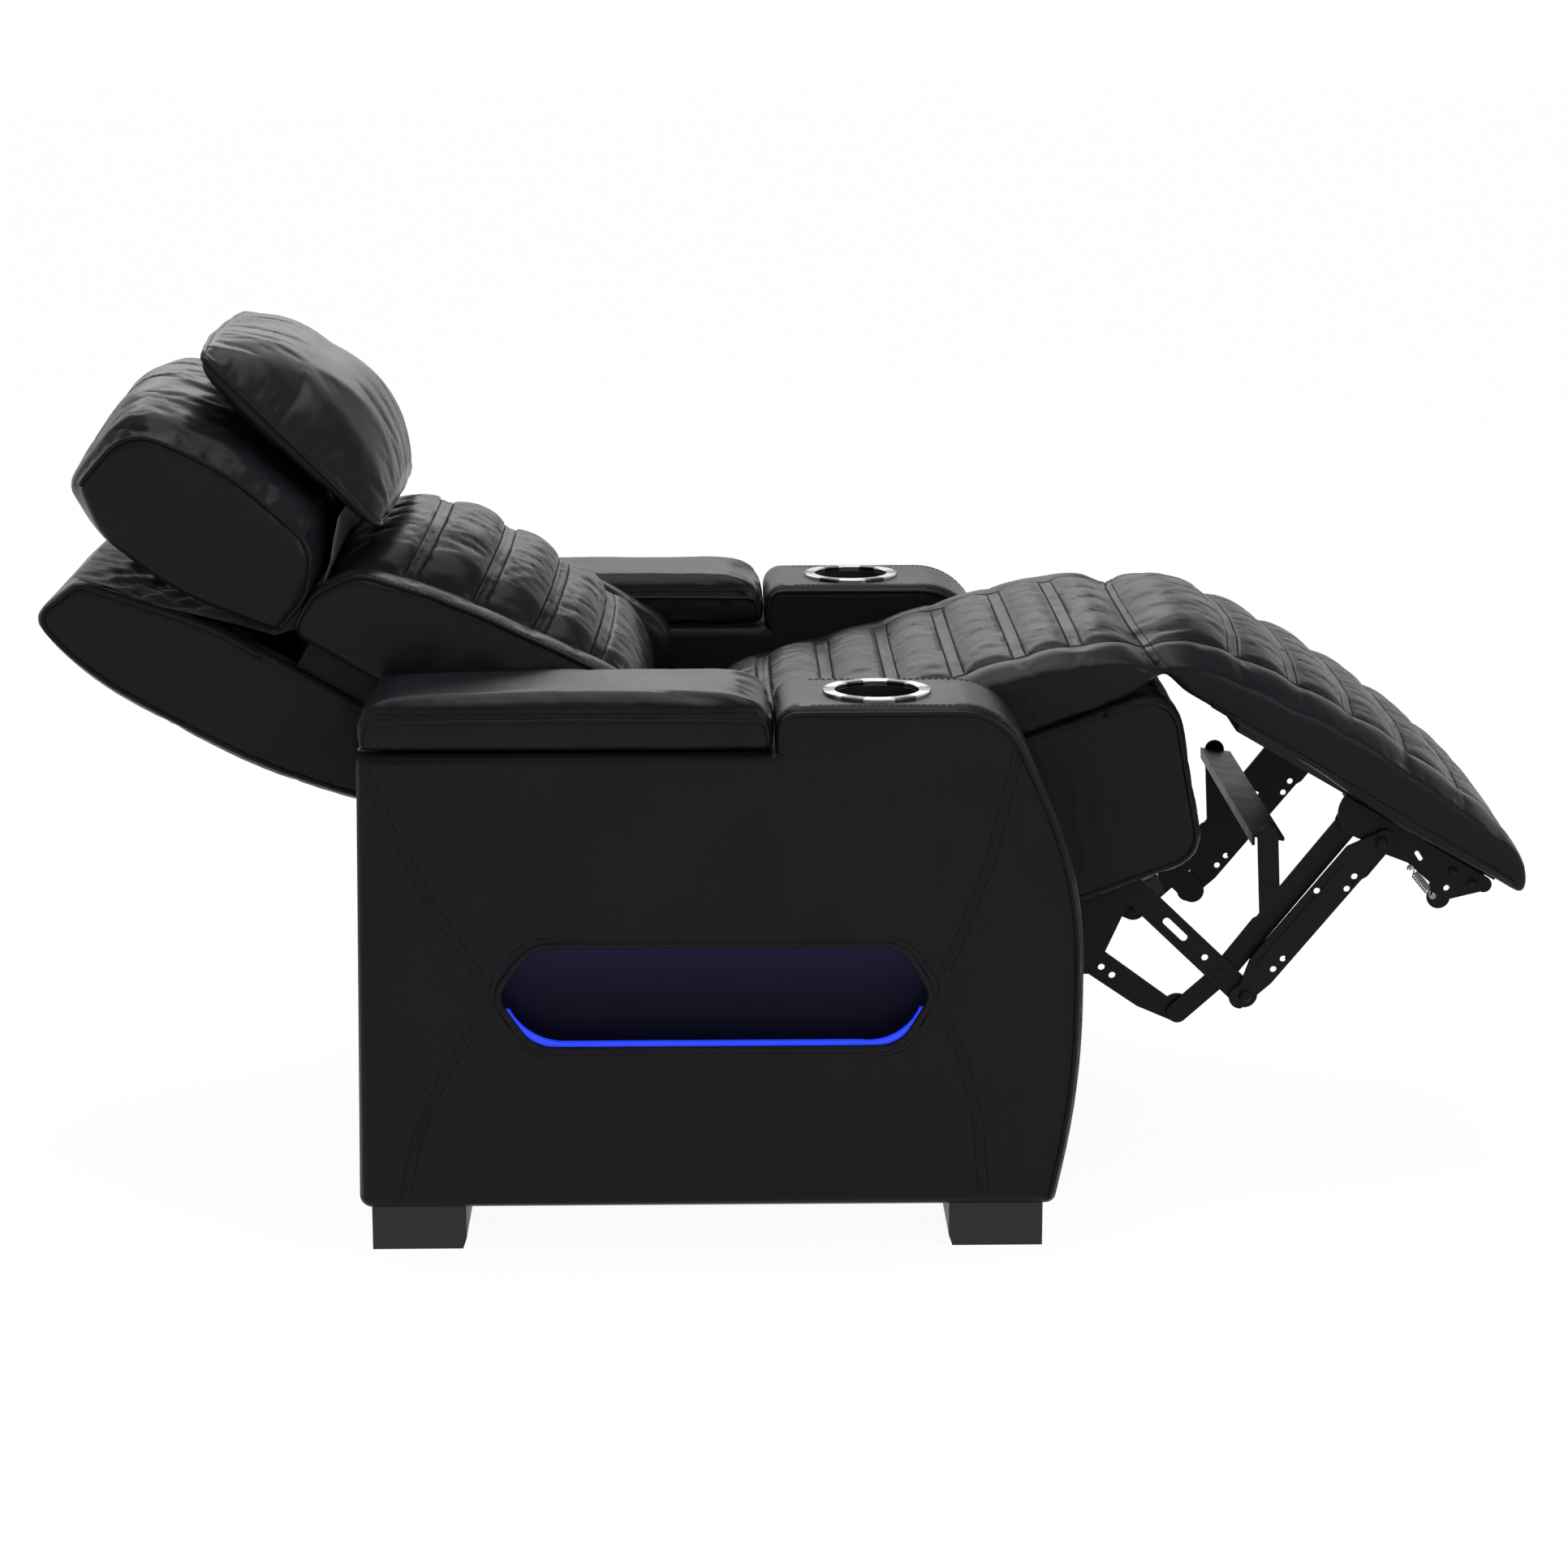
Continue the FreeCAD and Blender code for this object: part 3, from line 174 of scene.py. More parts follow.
class Nodes:
    """A node tree whose inputs take numbers, colours and other nodes alike."""

    def __init__(self, tree):
        self.tree = tree

    def feed(self, socket, value):
        if isinstance(value, Level):
            self.tree.links.new(value.socket, socket)
        elif socket.type == "RGBA" and len(value) == 3:
            socket.default_value = (*value, 1.0)
        else:
            socket.default_value = value

    def node(self, kind, settings, inputs, output=0):
        made = self.tree.nodes.new(kind)
        for key, value in settings.items():
            setattr(made, key, value)
        for key, value in inputs.items():
            self.feed(made.inputs[key], value)
        return Level(self, made.outputs[output])

    def rays(self, *kinds):
        """1 for rays of a kind, else 0."""
        return [self.node("ShaderNodeLightPath", {}, {}, "Is " + kind + " Ray") for kind in kinds]


class Finish(Nodes):
    """A material and the nodes behind it."""

    def __init__(self, name, fixed):
        self.material = bpy.data.materials.new(name)
        self.material.use_nodes = True
        super().__init__(self.material.node_tree)
        self.tree.nodes.clear()
        self.shader = self.tree.nodes.new("ShaderNodeBsdfPrincipled")
        self.surface = self.tree.nodes.new("ShaderNodeOutputMaterial").inputs[0]
        self.tree.links.new(self.shader.outputs[0], self.surface)
        for key, value in fixed.items():
            self.shader.inputs[key].default_value = value

    def place(self):
        return self.node("ShaderNodeTexCoord", {}, {}, "Object")

    def cloud(self, scale, detail=3.0, rough=0.5, stretch=(1.0, 1.0, 1.0)):
        where = self.node("ShaderNodeMapping", {}, {"Vector": self.place(), "Scale": stretch})
        inputs = {"Vector": where, "Scale": scale, "Detail": detail, "Roughness": rough}
        return self.node("ShaderNodeTexNoise", {}, inputs)

    def cells(self, scale):
        return self.node("ShaderNodeTexVoronoi", {}, {"Vector": self.place(), "Scale": scale})

    def axis(self, index):
        """One coordinate of the place: 0, 1 or 2 for x, y or z."""
        return self.node("ShaderNodeSeparateXYZ", {}, {0: self.place()}, index)

    def mark(self, name):
        """A number painted on the mesh's points."""
        return self.node("ShaderNodeAttribute", {"attribute_name": name}, {}, "Fac")

    def mix(self, share, low, high):
        return self.node("ShaderNodeMix", {"data_type": "RGBA"}, {0: share, 6: low, 7: high}, 2)

    def bump(self, height, strength, distance, normal=None):
        inputs = {"Height": height, "Strength": strength, "Distance": distance}
        if normal:
            inputs["Normal"] = normal
        return self.node("ShaderNodeBump", {}, inputs)

    def into(self, **outputs):
        for key, value in outputs.items():
            self.feed(self.shader.inputs[key.replace("_", " ")], value)
        return self.material


LEATHER_IOR_LEVEL = 0.09
RIM_HEIGHT = 611.5
CUP_X = 381.0
CUP_Y = -89.0
LIGHT_SEGMENTS = 6.0
# Height in millimetres at the middle of the pocket's painted glow, and the height over which it fades in
POCKET_GLOW = 305.0
POCKET_GLOW_REACH = 110.0
FLOOR_WHITE = 0.9
FLOOR_STRENGTH = 1.05


def leather_like(name, tint, rough, grain):
    look = bpy.context.scene.recliner_finish
    colour = tuple(part * tint for part in look.leather)
    finish = Finish(name, {"Specular IOR Level": LEATHER_IOR_LEVEL, "Coat Roughness": 0.3})
    seam = finish.mark("seam")
    broad = finish.cloud(9.0, 4.0)
    fine = finish.cloud(170.0, 5.0, 0.62)
    pores = finish.cells(900.0)
    creases = finish.cloud(46.0, 6.0, 0.68, (1.0, 0.55, 0.8))
    base = finish.mix(broad, tuple(c * 0.8 for c in colour), tuple(c * 1.25 for c in colour))
    # Painted shade: where the seam mark is set, the colour darkens to about a fifth, as in a shaded groove
    base = finish.mix(seam, base, tuple(c * 0.22 for c in colour))
    tone = rough + (broad - 0.5) * 0.16 + (fine - 0.5) * 0.12 + seam * 0.3
    height = pores * 0.35 + fine * 0.5 + creases * 0.35
    soft = finish.bump(broad, 0.2, 4.0 * MM)
    normal = finish.bump(height, grain, 0.35 * MM, soft)
    return finish.into(Base_Color=base, Roughness=tone, Normal=normal)


# Leathers: material, tint, roughness, grain
LEATHERS = {
    "leather": ("black_leather", 1.0, 0.32, 0.2),
    "panel_leather": ("panel_leather", 0.95, 0.36, 0.18),
    "welt": ("welt_leather", 0.9, 0.34, 0.3),
}


def plain(name, fixed, patches, low, high, rough, relief=None):
    """Two colours in patches; relief is its own pattern, strength and depth in millimetres."""
    finish = Finish(name, fixed)
    patch = finish.cloud(*patches)
    sockets = {"Base_Color": finish.mix(patch, low, high), "Roughness": rough[0] + patch * rough[1]}
    if relief:
        pattern, strength, depth = relief
        sockets["Normal"] = finish.bump(finish.cloud(*pattern), strength, depth * MM)
    return finish.into(**sockets)


WOOD_RINGS = (60.0, 4.0, 0.6, (0.15, 1.0, 4.0))
# Plain finishes: material, fixed sockets, patches, their two colours, roughness and its spread, relief
PLAIN = {
    "paint": ("black_steel", {"Specular IOR Level": 0.1}, (34.0, 4.0, 0.6), (0.0045, 0.0045, 0.005),
              (0.011, 0.011, 0.012), (0.28, 0.24), ((650.0, 3.0, 0.6), 0.22, 0.15)),
    "plastic": ("black_plastic", {"Specular IOR Level": 0.35}, (20.0, 4.0), (0.0095, 0.0095, 0.010),
                (0.015, 0.015, 0.0155), (0.42, 0.16), ((700.0, 2.0), 0.25, 0.15)),
    "board": ("board_wood", {"Specular IOR Level": 0.3}, WOOD_RINGS, (0.010, 0.010, 0.010),
              (0.026, 0.023, 0.020), (0.55, 0.2), (WOOD_RINGS, 0.2, 0.3)),
    "panel": ("panel_plastic", {"Specular IOR Level": 0.5, "Coat Weight": 0.4}, (300.0, 2.0),
              (0.010, 0.010, 0.011), (0.014, 0.014, 0.015), (0.2, 0.1)),
    "lens": ("cup_lens", {"Specular IOR Level": 0.5, "Coat Weight": 0.6}, (90.0, 2.0),
             (0.10, 0.105, 0.12), (0.17, 0.175, 0.19), (0.16, 0.1)),
}


def finish_thread():
    look = bpy.context.scene.recliner_finish
    finish = Finish("black_thread", {"Specular IOR Level": 0.08})
    twist = finish.cloud(1400.0, 1.0)
    return finish.into(Base_Color=(*look.thread, 1.0), Roughness=0.6 + twist * 0.2)


def finish_lining():
    finish = Finish("lining_cloth", {"Specular IOR Level": 0.5, "Sheen Weight": 0.15})
    weave = finish.cloud(800.0, 2.0)
    folds = finish.cloud(60.0, 3.0)
    base = finish.mix(folds, (0.006, 0.006, 0.007), (0.014, 0.014, 0.016))
    normal = finish.bump(weave, 0.3, 0.2 * MM)
    return finish.into(Base_Color=base, Roughness=0.34 + weave * 0.2, Normal=normal)


def finish_steel():
    """Bright scalloped flange above the rim's height, black inside the cup."""
    finish = Finish("cup_steel", {"Specular IOR Level": 0.5})
    brushed = finish.cloud(420.0, 3.0, 0.5, (1.0, 1.0, 0.1))
    x, y, height = [finish.axis(index) for index in range(3)]
    rim = height.above(RIM_HEIGHT * MM, 1.0 * MM)
    across = finish.node("ShaderNodeMath", {"operation": "ABSOLUTE"}, {0: x}) - CUP_X * MM
    turn = finish.node("ShaderNodeMath", {"operation": "ARCTAN2"}, {0: y - CUP_Y * MM, 1: across})
    wave = finish.node("ShaderNodeMath", {"operation": "COSINE"}, {0: turn * LIGHT_SEGMENTS})
    segment = (wave * -1.0).above(0.15, 0.25)
    bright = finish.mix(segment, (0.52, 0.53, 0.55), (0.085, 0.085, 0.10))
    base = finish.mix(rim, (0.008, 0.008, 0.009), bright)
    normal = finish.bump(brushed, 0.08, 0.1 * MM)
    tone = (0.17 + brushed * 0.1) * rim + (1.0 - rim) * 0.35
    return finish.into(Base_Color=base, Metallic=rim, Roughness=tone, Normal=normal)


def finish_bright():
    finish = Finish("bright_steel", {"Specular IOR Level": 0.5})
    stain = finish.cloud(120.0, 4.0)
    base = finish.mix(stain, (0.16, 0.16, 0.165), (0.34, 0.34, 0.35))
    return finish.into(Base_Color=base, Metallic=0.9 - stain * 0.1, Roughness=0.25 + stain * 0.2)


def finish_pocket_painted_glow():
    finish = Finish("pocket_plastic", {"Specular IOR Level": 0.06, "Emission Strength": 1.0})
    # Painted glow and shade: the pocket is lighter towards the top, in its base colour and in its emission,
    # standing in for the light strip's glow inside the pocket
    rise = finish.axis(2).above(POCKET_GLOW * MM, POCKET_GLOW_REACH * MM)
    haze = finish.cloud(14.0, 2.0)
    base = finish.mix(rise, (0.003, 0.003, 0.007), (0.010, 0.008, 0.022))
    lit = finish.mix(rise * rise * (0.8 + haze * 0.4), (0.0006, 0.0004, 0.003), (0.0125, 0.0098, 0.032))
    return finish.into(Base_Color=base, Roughness=0.36 + haze * 0.2, Emission_Color=lit)


def finish_glow():
    look = bpy.context.scene.recliner_finish
    finish = Finish("blue_led", {"Emission Strength": look.glow_strength})
    dots = finish.cloud(60.0, 1.0)
    colour = finish.mix(dots, tuple(c * 0.8 for c in look.glow), look.glow)
    return finish.into(Base_Color=(0.02, 0.04, 0.3, 1.0), Roughness=0.4 + dots * 0.1, Emission_Color=colour)


def finish_floor():
    """Pale floor: white to the camera and in reflections, with the chair's shadow kept."""
    fixed = {"Base Color": (0.86, 0.86, 0.86, 1.0), "Roughness": 0.8, "Specular IOR Level": 0.1}
    finish = Finish("floor_paper", fixed)
    seen, glossy, clear = finish.rays("Camera", "Glossy", "Transmission")
    share = seen.with_("MAXIMUM", seen.with_("MAXIMUM", seen, glossy), clear) * FLOOR_WHITE
    paper = Level(finish, finish.shader.outputs[0])
    white = finish.node("ShaderNodeEmission", {}, {"Strength": FLOOR_STRENGTH})
    finish.feed(finish.surface, finish.node("ShaderNodeMixShader", {}, {0: share, 1: paper, 2: white}))
    return finish.material


OTHER_FINISHES = {
    "thread": finish_thread, "lining": finish_lining, "steel": finish_steel, "bright": finish_bright,
    "pocket": finish_pocket_painted_glow, "glow": finish_glow, "floor": finish_floor,
}
made_finishes = {}


def finish_of(name):
    """A finish by name, made once."""
    if name not in made_finishes:
        if name in LEATHERS:
            made_finishes[name] = leather_like(*LEATHERS[name])
        elif name in PLAIN:
            made_finishes[name] = plain(*PLAIN[name])
        else:
            made_finishes[name] = OTHER_FINISHES[name]()
    return made_finishes[name]


# Shapes
MERGE = 0.01 * MM
HARD_EDGE = 32.0


def linked(name, data):
    """A new object in the scene."""
    made = bpy.data.objects.new(name, data)
    bpy.context.scene.collection.objects.link(made)
    return made


def piece_from(name, bm, finish, crisp=None):
    """A finished object from a bmesh, smooth all over or up to an angle."""
    mesh = bpy.data.meshes.new(name)
    bm.to_mesh(mesh)
    bm.free()
    mesh.shade_smooth()
    if crisp:
        mesh.set_sharp_from_angle(angle=math.radians(crisp))
    mesh.materials.append(finish_of(finish))
    return linked(name, mesh)


def cad_copy(*nodes):
    """The frame's own surfaces as one mesh with its doubles merged."""
    bm = bmesh.new()
    for node in nodes:
        bm.from_mesh(frame["nodes"][node].data)
    bmesh.ops.remove_doubles(bm, verts=bm.verts, dist=MERGE)
    return bm


def outermost(bm):
    """Drops the closed rooms inside a casing."""
    left = set(bm.verts)
    groups = []
    while left:
        group = set()
        front = [left.pop()]
        while front:
            vert = front.pop()
            group.add(vert)
            fresh = {edge.other_vert(vert) for edge in vert.link_edges} & left
            left -= fresh
            front += fresh
        groups.append(group)
    biggest = max(groups, key=lambda g: max(v.co.y for v in g) - min(v.co.y for v in g))
    rest = [vert for group in groups if group is not biggest for vert in group]
    bmesh.ops.delete(bm, geom=rest, context="VERTS")
    return bm


def shown_form(holder):
    """The mesh that an object shows, as a bmesh; the object goes."""
    graph = bpy.context.evaluated_depsgraph_get()
    mesh = bpy.data.meshes.new_from_object(holder.evaluated_get(graph))
    bpy.data.objects.remove(holder)
    bm = bmesh.new()
    bm.from_mesh(mesh)
    return bm


def evened(bm, voxel, smooth):
    """The same closed form in even squares."""
    mesh = bpy.data.meshes.new("rough")
    bm.to_mesh(mesh)
    bm.free()
    rough = linked("rough", mesh)
    even = rough.modifiers.new("even", "REMESH")
    even.mode = "VOXEL"
    even.voxel_size = voxel * MM
    out = shown_form(rough)
    bmesh.ops.recalc_face_normals(out, faces=out.faces)
    for _ in range(smooth):
        bmesh.ops.smooth_vert(
            out, verts=out.verts, factor=0.5, use_axis_x=True, use_axis_y=True, use_axis_z=True)
    out.normal_update()
    return out


def split_by(bm, point, normal):
    """Cuts an edge line where a plane crosses the mesh."""
    geometry = bm.verts[:] + bm.edges[:] + bm.faces[:]
    bmesh.ops.bisect_plane(bm, geom=geometry, dist=2.0 * MERGE, plane_co=point, plane_no=normal)


def push(bm, height):
    """Moves the points along their normals by a height in millimetres, all seen before any moves."""
    bm.normal_update()
    moves = []
    for vert in bm.verts:
        rise = height(vert)
        if rise:
            moves.append((vert, vert.normal * rise * MM))
    for vert, move in moves:
        vert.co += move
    bm.normal_update()


def bell(distance, width):
    """1 on a line, falling to 0 beside it."""
    return math.exp(-((distance / width) ** 2))


def ramp(value, low, high):
    """0 below low, 1 above high, smooth between."""
    t = min(1.0, max(0.0, (value - low) / (high - low)))
    return t * t * (3.0 - 2.0 * t)


SEWN_FACE = 0.12
RAY_START = 0.3


def dropped(tree, points, up):
    """Where points held over a surface fall on it, with the surface's normal."""
    hits = [tree.ray_cast(point + up * RAY_START, -up) for point in points]
    return [hit[:2] for hit in hits if hit[0]]


class Seam:
    """A sewn line in a plane across a side view, as far as a half width from the middle."""

    def __init__(self, side, along, half, lean=0.0, twin=True):
        self.half = half
        self.twin = twin
        turn = Matrix.Rotation(lean, 3, "X")
        self.point = side.at(0.0, along, 0.0)
        self.normal = turn @ side.along
        self.up = turn @ side.out

    def away(self, point):
        return (point - self.point).dot(self.normal) / MM

    def rows(self):
        twin = bpy.context.scene.recliner_sewing.twin / MM
        return (-twin / 2, twin / 2) if self.twin else (0.0,)

    def holds(self, point, normal, margin=0.0):
        return abs(point.x) / MM < self.half + margin and normal.dot(self.up) > SEWN_FACE

    def split(self, bm, offset):
        split_by(bm, self.point + self.normal * offset * MM, self.normal)

    def path(self, tree, offset):
        middle = self.point + self.normal * offset * MM
        count = int(2 * self.half / SEAM_STEP)
        across = [-self.half + 2 * self.half * i / count for i in range(count + 1)]
        return dropped(tree, [middle + X_AXIS * x * MM for x in across], self.up)


class LongSeam:
    """A sewn line along the seat at a distance from the middle, between two side-view planes."""

    def __init__(self, x, up, starts, ends):
        self.x = x
        self.up = up
        self.starts = starts
        self.ends = ends

    def away(self, point):
        return point.x / MM - self.x

    def rows(self):
        return (0.0,)

    def holds(self, point, normal, margin=0.0):
        inside = self.starts.away(point) * self.ends.away(point) < 0
        return inside and normal.dot(self.up) > SEWN_FACE

    def split(self, bm, offset):
        split_by(bm, X_AXIS * (self.x + offset) * MM, X_AXIS)

    def path(self, tree, offset):
        first = self.starts.point
        last = self.ends.point
        count = int((last - first).length / MM / LONG_SEAM_STEP)
        places = [first.lerp(last, i / count) for i in range(count + 1)]
        x = (self.x + offset) * MM
        return dropped(tree, [Vector((x, at.y, at.z)) for at in places], self.up)


SEAM_STEP = 4.0
LONG_SEAM_STEP = 5.0
SEAM_REACH = 12.0
GROOVE = 1.7
GROOVE_DEPTH = 2.3


def sew(bm, seams):
    """Cuts a fine crease along each row of stitches and marks it for the finish, which paints shade into the
    groove.
    """
    mark = bm.verts.layers.float.new("seam")
    for seam in seams:
        for row in seam.rows():
            for offset in (-GROOVE, 0.0, GROOVE):
                seam.split(bm, row + offset)

    def crease(vert):
        depth = 0.0
        for seam in seams:
            far = seam.away(vert.co)
            if abs(far) > SEAM_REACH or not seam.holds(vert.co, vert.normal):
                continue
            if min(abs(far - row) for row in seam.rows()) < GROOVE * 0.7:
                # Marked for painted shade in the groove
                vert[mark] = 1.0
                depth -= GROOVE_DEPTH
        return depth

    push(bm, crease)


def tree_of(piece):
    bm = bmesh.new()
    bm.from_mesh(piece.data)
    tree = BVHTree.FromBMesh(bm)
    bm.free()
    return tree


LONGEST_STEP = 0.03


def along_path(points, pitch):
    """Places at an even pitch along a broken line, with their direction and surface normal."""
    carried = 0.0
    for (p, pn), (q, qn) in zip(points, points[1:]):
        length = (q - p).length
        if not 1e-6 <= length <= LONGEST_STEP:
            continue
        way = (q - p) / length
        while carried < length:
            share = carried / length
            yield p.lerp(q, share), way, pn.lerp(qn, share)
            carried += pitch
        carried -= length


THREAD_RADIUS = 0.62 * MM


def stitches(name, paths, body=None, lift=0.1):
    """Rows of single stitches laid along surface paths."""
    sewing = bpy.context.scene.recliner_sewing
    bm = bmesh.new()
    for path in paths:
        for point, way, normal in along_path(path, sewing.pitch):
            across = way.cross(normal).normalized()
            turn = Matrix((across, normal, way)).transposed().to_4x4()
            place = Matrix.Translation(point + normal * lift * MM) @ turn
            bmesh.ops.create_cone(
                bm, cap_ends=True, segments=5, radius1=THREAD_RADIUS, radius2=THREAD_RADIUS,
                depth=sewing.stitch, matrix=place)
    piece = piece_from(name, bm, "thread", 50)
    if body:
        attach(piece, body)
    return piece


def tube(paths, radius, closed):
    """Round cords along smooth lines, as one mesh."""
    curve = bpy.data.curves.new("tube", "CURVE")
    curve.dimensions = "3D"
    curve.bevel_depth = radius
    curve.bevel_resolution = 3
    curve.resolution_u = 3
    curve.use_fill_caps = True
    for path in paths:
        spline = curve.splines.new("NURBS")
        spline.points.add(len(path) - 1)
        for spot, point in zip(spline.points, path):
            spot.co = (*point, 1.0)
        spline.order_u = 4
        spline.use_endpoint_u = not closed
        spline.use_cyclic_u = closed
    bm = shown_form(linked("tube", curve))
    bmesh.ops.remove_doubles(bm, verts=bm.verts, dist=MERGE)
    bmesh.ops.recalc_face_normals(bm, faces=bm.faces)
    return bm


def welt(name, paths, body, closed=False, radius=None):
    """Piping: a covered cord along a seam."""
    bm = tube(paths, radius or bpy.context.scene.recliner_sewing.welt, closed)
    piece = piece_from(name, bm, "welt")
    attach(piece, body)


def rounded(corners, step=7.0, closed=True):
    """Points round a list of corners (y, z, radius), arcs in short chords."""
    points = []
    count = len(corners)
    for index, (y, z, radius) in enumerate(corners):
        here = Vector((y, z))
        if radius == 0 or (not closed and index in (0, count - 1)):
            points.append(here)
            continue
        before = (Vector(corners[index - 1][:2]) - here).normalized()
        after = (Vector(corners[(index + 1) % count][:2]) - here).normalized()
        half = before.angle(after) / 2
        reach = radius / math.tan(half)
        centre = here + (before + after).normalized() * radius / math.sin(half)
        first = here + before * reach - centre
        turn = (math.pi - 2 * half) * (1 if before.cross(after) < 0 else -1)
        parts = max(2, int(abs(turn) * radius / step))
        for part in range(parts + 1):
            angle = turn * part / parts
            spun = Vector((first.x * math.cos(angle) - first.y * math.sin(angle),
                           first.x * math.sin(angle) + first.y * math.cos(angle)))
            points.append(centre + spun)
    return points


def drawn(points, step):
    """The same line in even short steps."""
    out = [points[0]]
    for p, q in zip(points, points[1:]):
        parts = max(1, round((q - p).length / step))
        out += [p.lerp(q, (part + 1) / parts) for part in range(parts)]
    return out


def hugged(tree, points):
    """The nearest place on a surface to each point, with the surface's normal."""
    return [tree.find_nearest(point)[:2] for point in points]


def edge_line(tree, side, x, corners, step=9.0, chord=7.0):
    """An outline of a side view, laid on the surface at a distance from the middle."""
    outline = drawn(rounded(corners, chord, False), step)
    return hugged(tree, [side.at(x, along, out) for along, out in outline])


SETTLE_REACH = 0.12


def settle(tree, points, way):
    """Drops points on a surface along a direction, with the surface's normal."""
    hits = [tree.ray_cast(point - way * SETTLE_REACH, way, SETTLE_REACH * 2.5) for point in points]
    return [hit[:2] for hit in hits if hit[0]]


def lifted(path, height):
    """The points of a surface path a little above the surface."""
    return [point + normal * height * MM for point, normal in path]


# Filling
CLOTH = {
    "quality": 5, "mass": 0.3, "air_damping": 2.0, "tension_stiffness": 16.0,
    "compression_stiffness": 16.0, "shear_stiffness": 6.0, "bending_stiffness": 0.35,
    "use_pressure": True, "vertex_group_mass": "held",
}
covers = {}


class Cover:
    """A sewn cover to be filled: its rough form, how each point is held, and its slack."""

    def __init__(self, name, bm, finish, held, pressure, cap, slack, gather=None):
        self.piece = piece_from(name, bm, finish)
        self.pressure = pressure
        self.cap = cap * MM
        self.slack = slack
        verts = self.piece.data.vertices
        self.start = [vert.co.copy() for vert in verts]
        self.held = [held(vert.co, vert.normal) for vert in verts]
        self.gather = [gather(vert.co) for vert in verts] if gather else None
        covers[name] = self

    def weigh(self, name, weights):
        group = self.piece.vertex_groups.new(name=name)
        for index, weight in enumerate(weights):
            group.add([index], weight, "REPLACE")

    def load(self, frames):
        self.weigh("held", self.held)
        cloth = self.piece.modifiers.new("fill", "CLOTH")
        settings = cloth.settings
        for key, value in CLOTH.items():
            setattr(settings, key, value)
        settings.uniform_pressure_force = self.pressure
        settings.shrink_min = -self.slack * 0.25
        settings.effector_weights.gravity = 0.0
        if self.gather:
            self.weigh("loose", self.gather)
            settings.vertex_group_shrink = "loose"
            settings.shrink_max = -self.slack
        cloth.point_cache.frame_start = 1
        cloth.point_cache.frame_end = frames

    def take(self, graph):
        filled = self.piece.evaluated_get(graph).data
        return [vert.co.copy() for vert in filled.vertices]

    def keep(self, moved):
        self.piece.modifiers.clear()
        self.piece.vertex_groups.clear()
        for vert, old, new in zip(self.piece.data.vertices, self.start, moved):
            step = new - old
            length = step.length
            if length > 1e-9:
                vert.co = old + step * (self.cap * math.tanh(length / self.cap) / length)


def fill_covers():
    """Blows all covers up from inside at once, each held at its seams."""
    scene = bpy.context.scene
    frames = scene.recliner_sewing.fill_frames
    for cover in covers.values():
        cover.load(frames)
    for step in range(1, frames + 1):
        scene.frame_set(step)
    graph = bpy.context.evaluated_depsgraph_get()
    taken = [(cover, cover.take(graph)) for cover in covers.values()]
    for cover, moved in taken:
        cover.keep(moved)
    scene.frame_set(1)


# Seams of the seat, leg rest and back, as places along their side views
CHANNEL_HALF = 207.0
LONG_SEAM = 214.0
SEAT_SEAMS = (449.0, 376.0, 303.0, 230.0, 157.0, 92.0)
LEG_SEAMS = (15.0, -60.0, -135.0, -210.0, -285.0)
SEAT_END = 470.0
LEG_TIP = -392.0
BACK_SEAMS = (377.5, 296.0, 220.5, 150.0)
KNEE_LEAN = math.radians(-23.3)
SIDE_FACE = 284.0
ARM_OUTER = 467.0
ARM_INNER = 295.0
ARM_FACES = ((ARM_OUTER, 1.0), (ARM_INNER, -1.0))

knee_seam = Seam(seat_turned, 0.0, SIDE_FACE, KNEE_LEAN, False)
chaise_seams = [Seam(seat_side, along, CHANNEL_HALF) for along in SEAT_SEAMS]
chaise_seams += [Seam(leg_side, along, CHANNEL_HALF) for along in LEG_SEAMS]
chaise_seams.append(knee_seam)
seat_back_end = Seam(seat_side, SEAT_END, SIDE_FACE)
leg_end = Seam(leg_side, LEG_TIP, SIDE_FACE)
for side_sign in (-1.0, 1.0):
    chaise_seams.append(LongSeam(side_sign * LONG_SEAM, seat_side.out, seat_back_end, knee_seam))
    chaise_seams.append(LongSeam(side_sign * LONG_SEAM, leg_side.out, knee_seam, leg_end))
back_seams = [Seam(back_side, along, CHANNEL_HALF) for along in BACK_SEAMS]


def sink(bm, seams, depth, width):
    """Presses a soft valley into the cover along each seam."""
    def valley(vert):
        total = 0.0
        for seam in seams:
            far = seam.away(vert.co)
            if abs(far) < width * 2.5 and seam.holds(vert.co, vert.normal, 6.0):
                total = max(total, bell(far, width))
        return -depth * total if total > 0.01 else 0.0

    push(bm, valley)


def near_seams(seams, reach=4.2):
    """How firmly a point is held by the seams."""
    def held(point, normal):
        for seam in seams:
            far = seam.away(point)
            if seam.holds(point, normal, 4.0) and min(abs(far - row) for row in seam.rows()) < reach:
                return 1.0
        return 0.0
    return held


def wrinkle(point, seed, size):
    """Uneven leather: a smooth random height from -1 to 1 that is the same each run."""
    return noise.noise(point / (size * MM) + Vector((seed, seed * 0.7, -seed)))


def rumple(bm, seed, size, height):
    """Small uneven swells, so that nothing looks machined."""
    push(bm, lambda vert: wrinkle(vert.co, seed, size) * height)


def rough_chaise():
    bm = evened(cad_copy("seat_cushion", "footrest_pad"), 7.0, 4)
    sink(bm, chaise_seams, 3.2, 11.0)
    rumple(bm, 1.0, 60.0, 1.2)
    seamed = near_seams(chaise_seams)

    def held(point, normal):
        below = seat_side.to(point)[2] < 14.0 and leg_side.to(point)[2] < 14.0
        down = normal.dot(seat_side.out) < -0.1
        side = 0.55 if abs(normal.x) > 0.75 else 0.0
        return max(seamed(point, normal), 1.0 if below or down else side)

    Cover("chaise_cover", bm, "leather", held, 4.0, 8.0, 0.03)


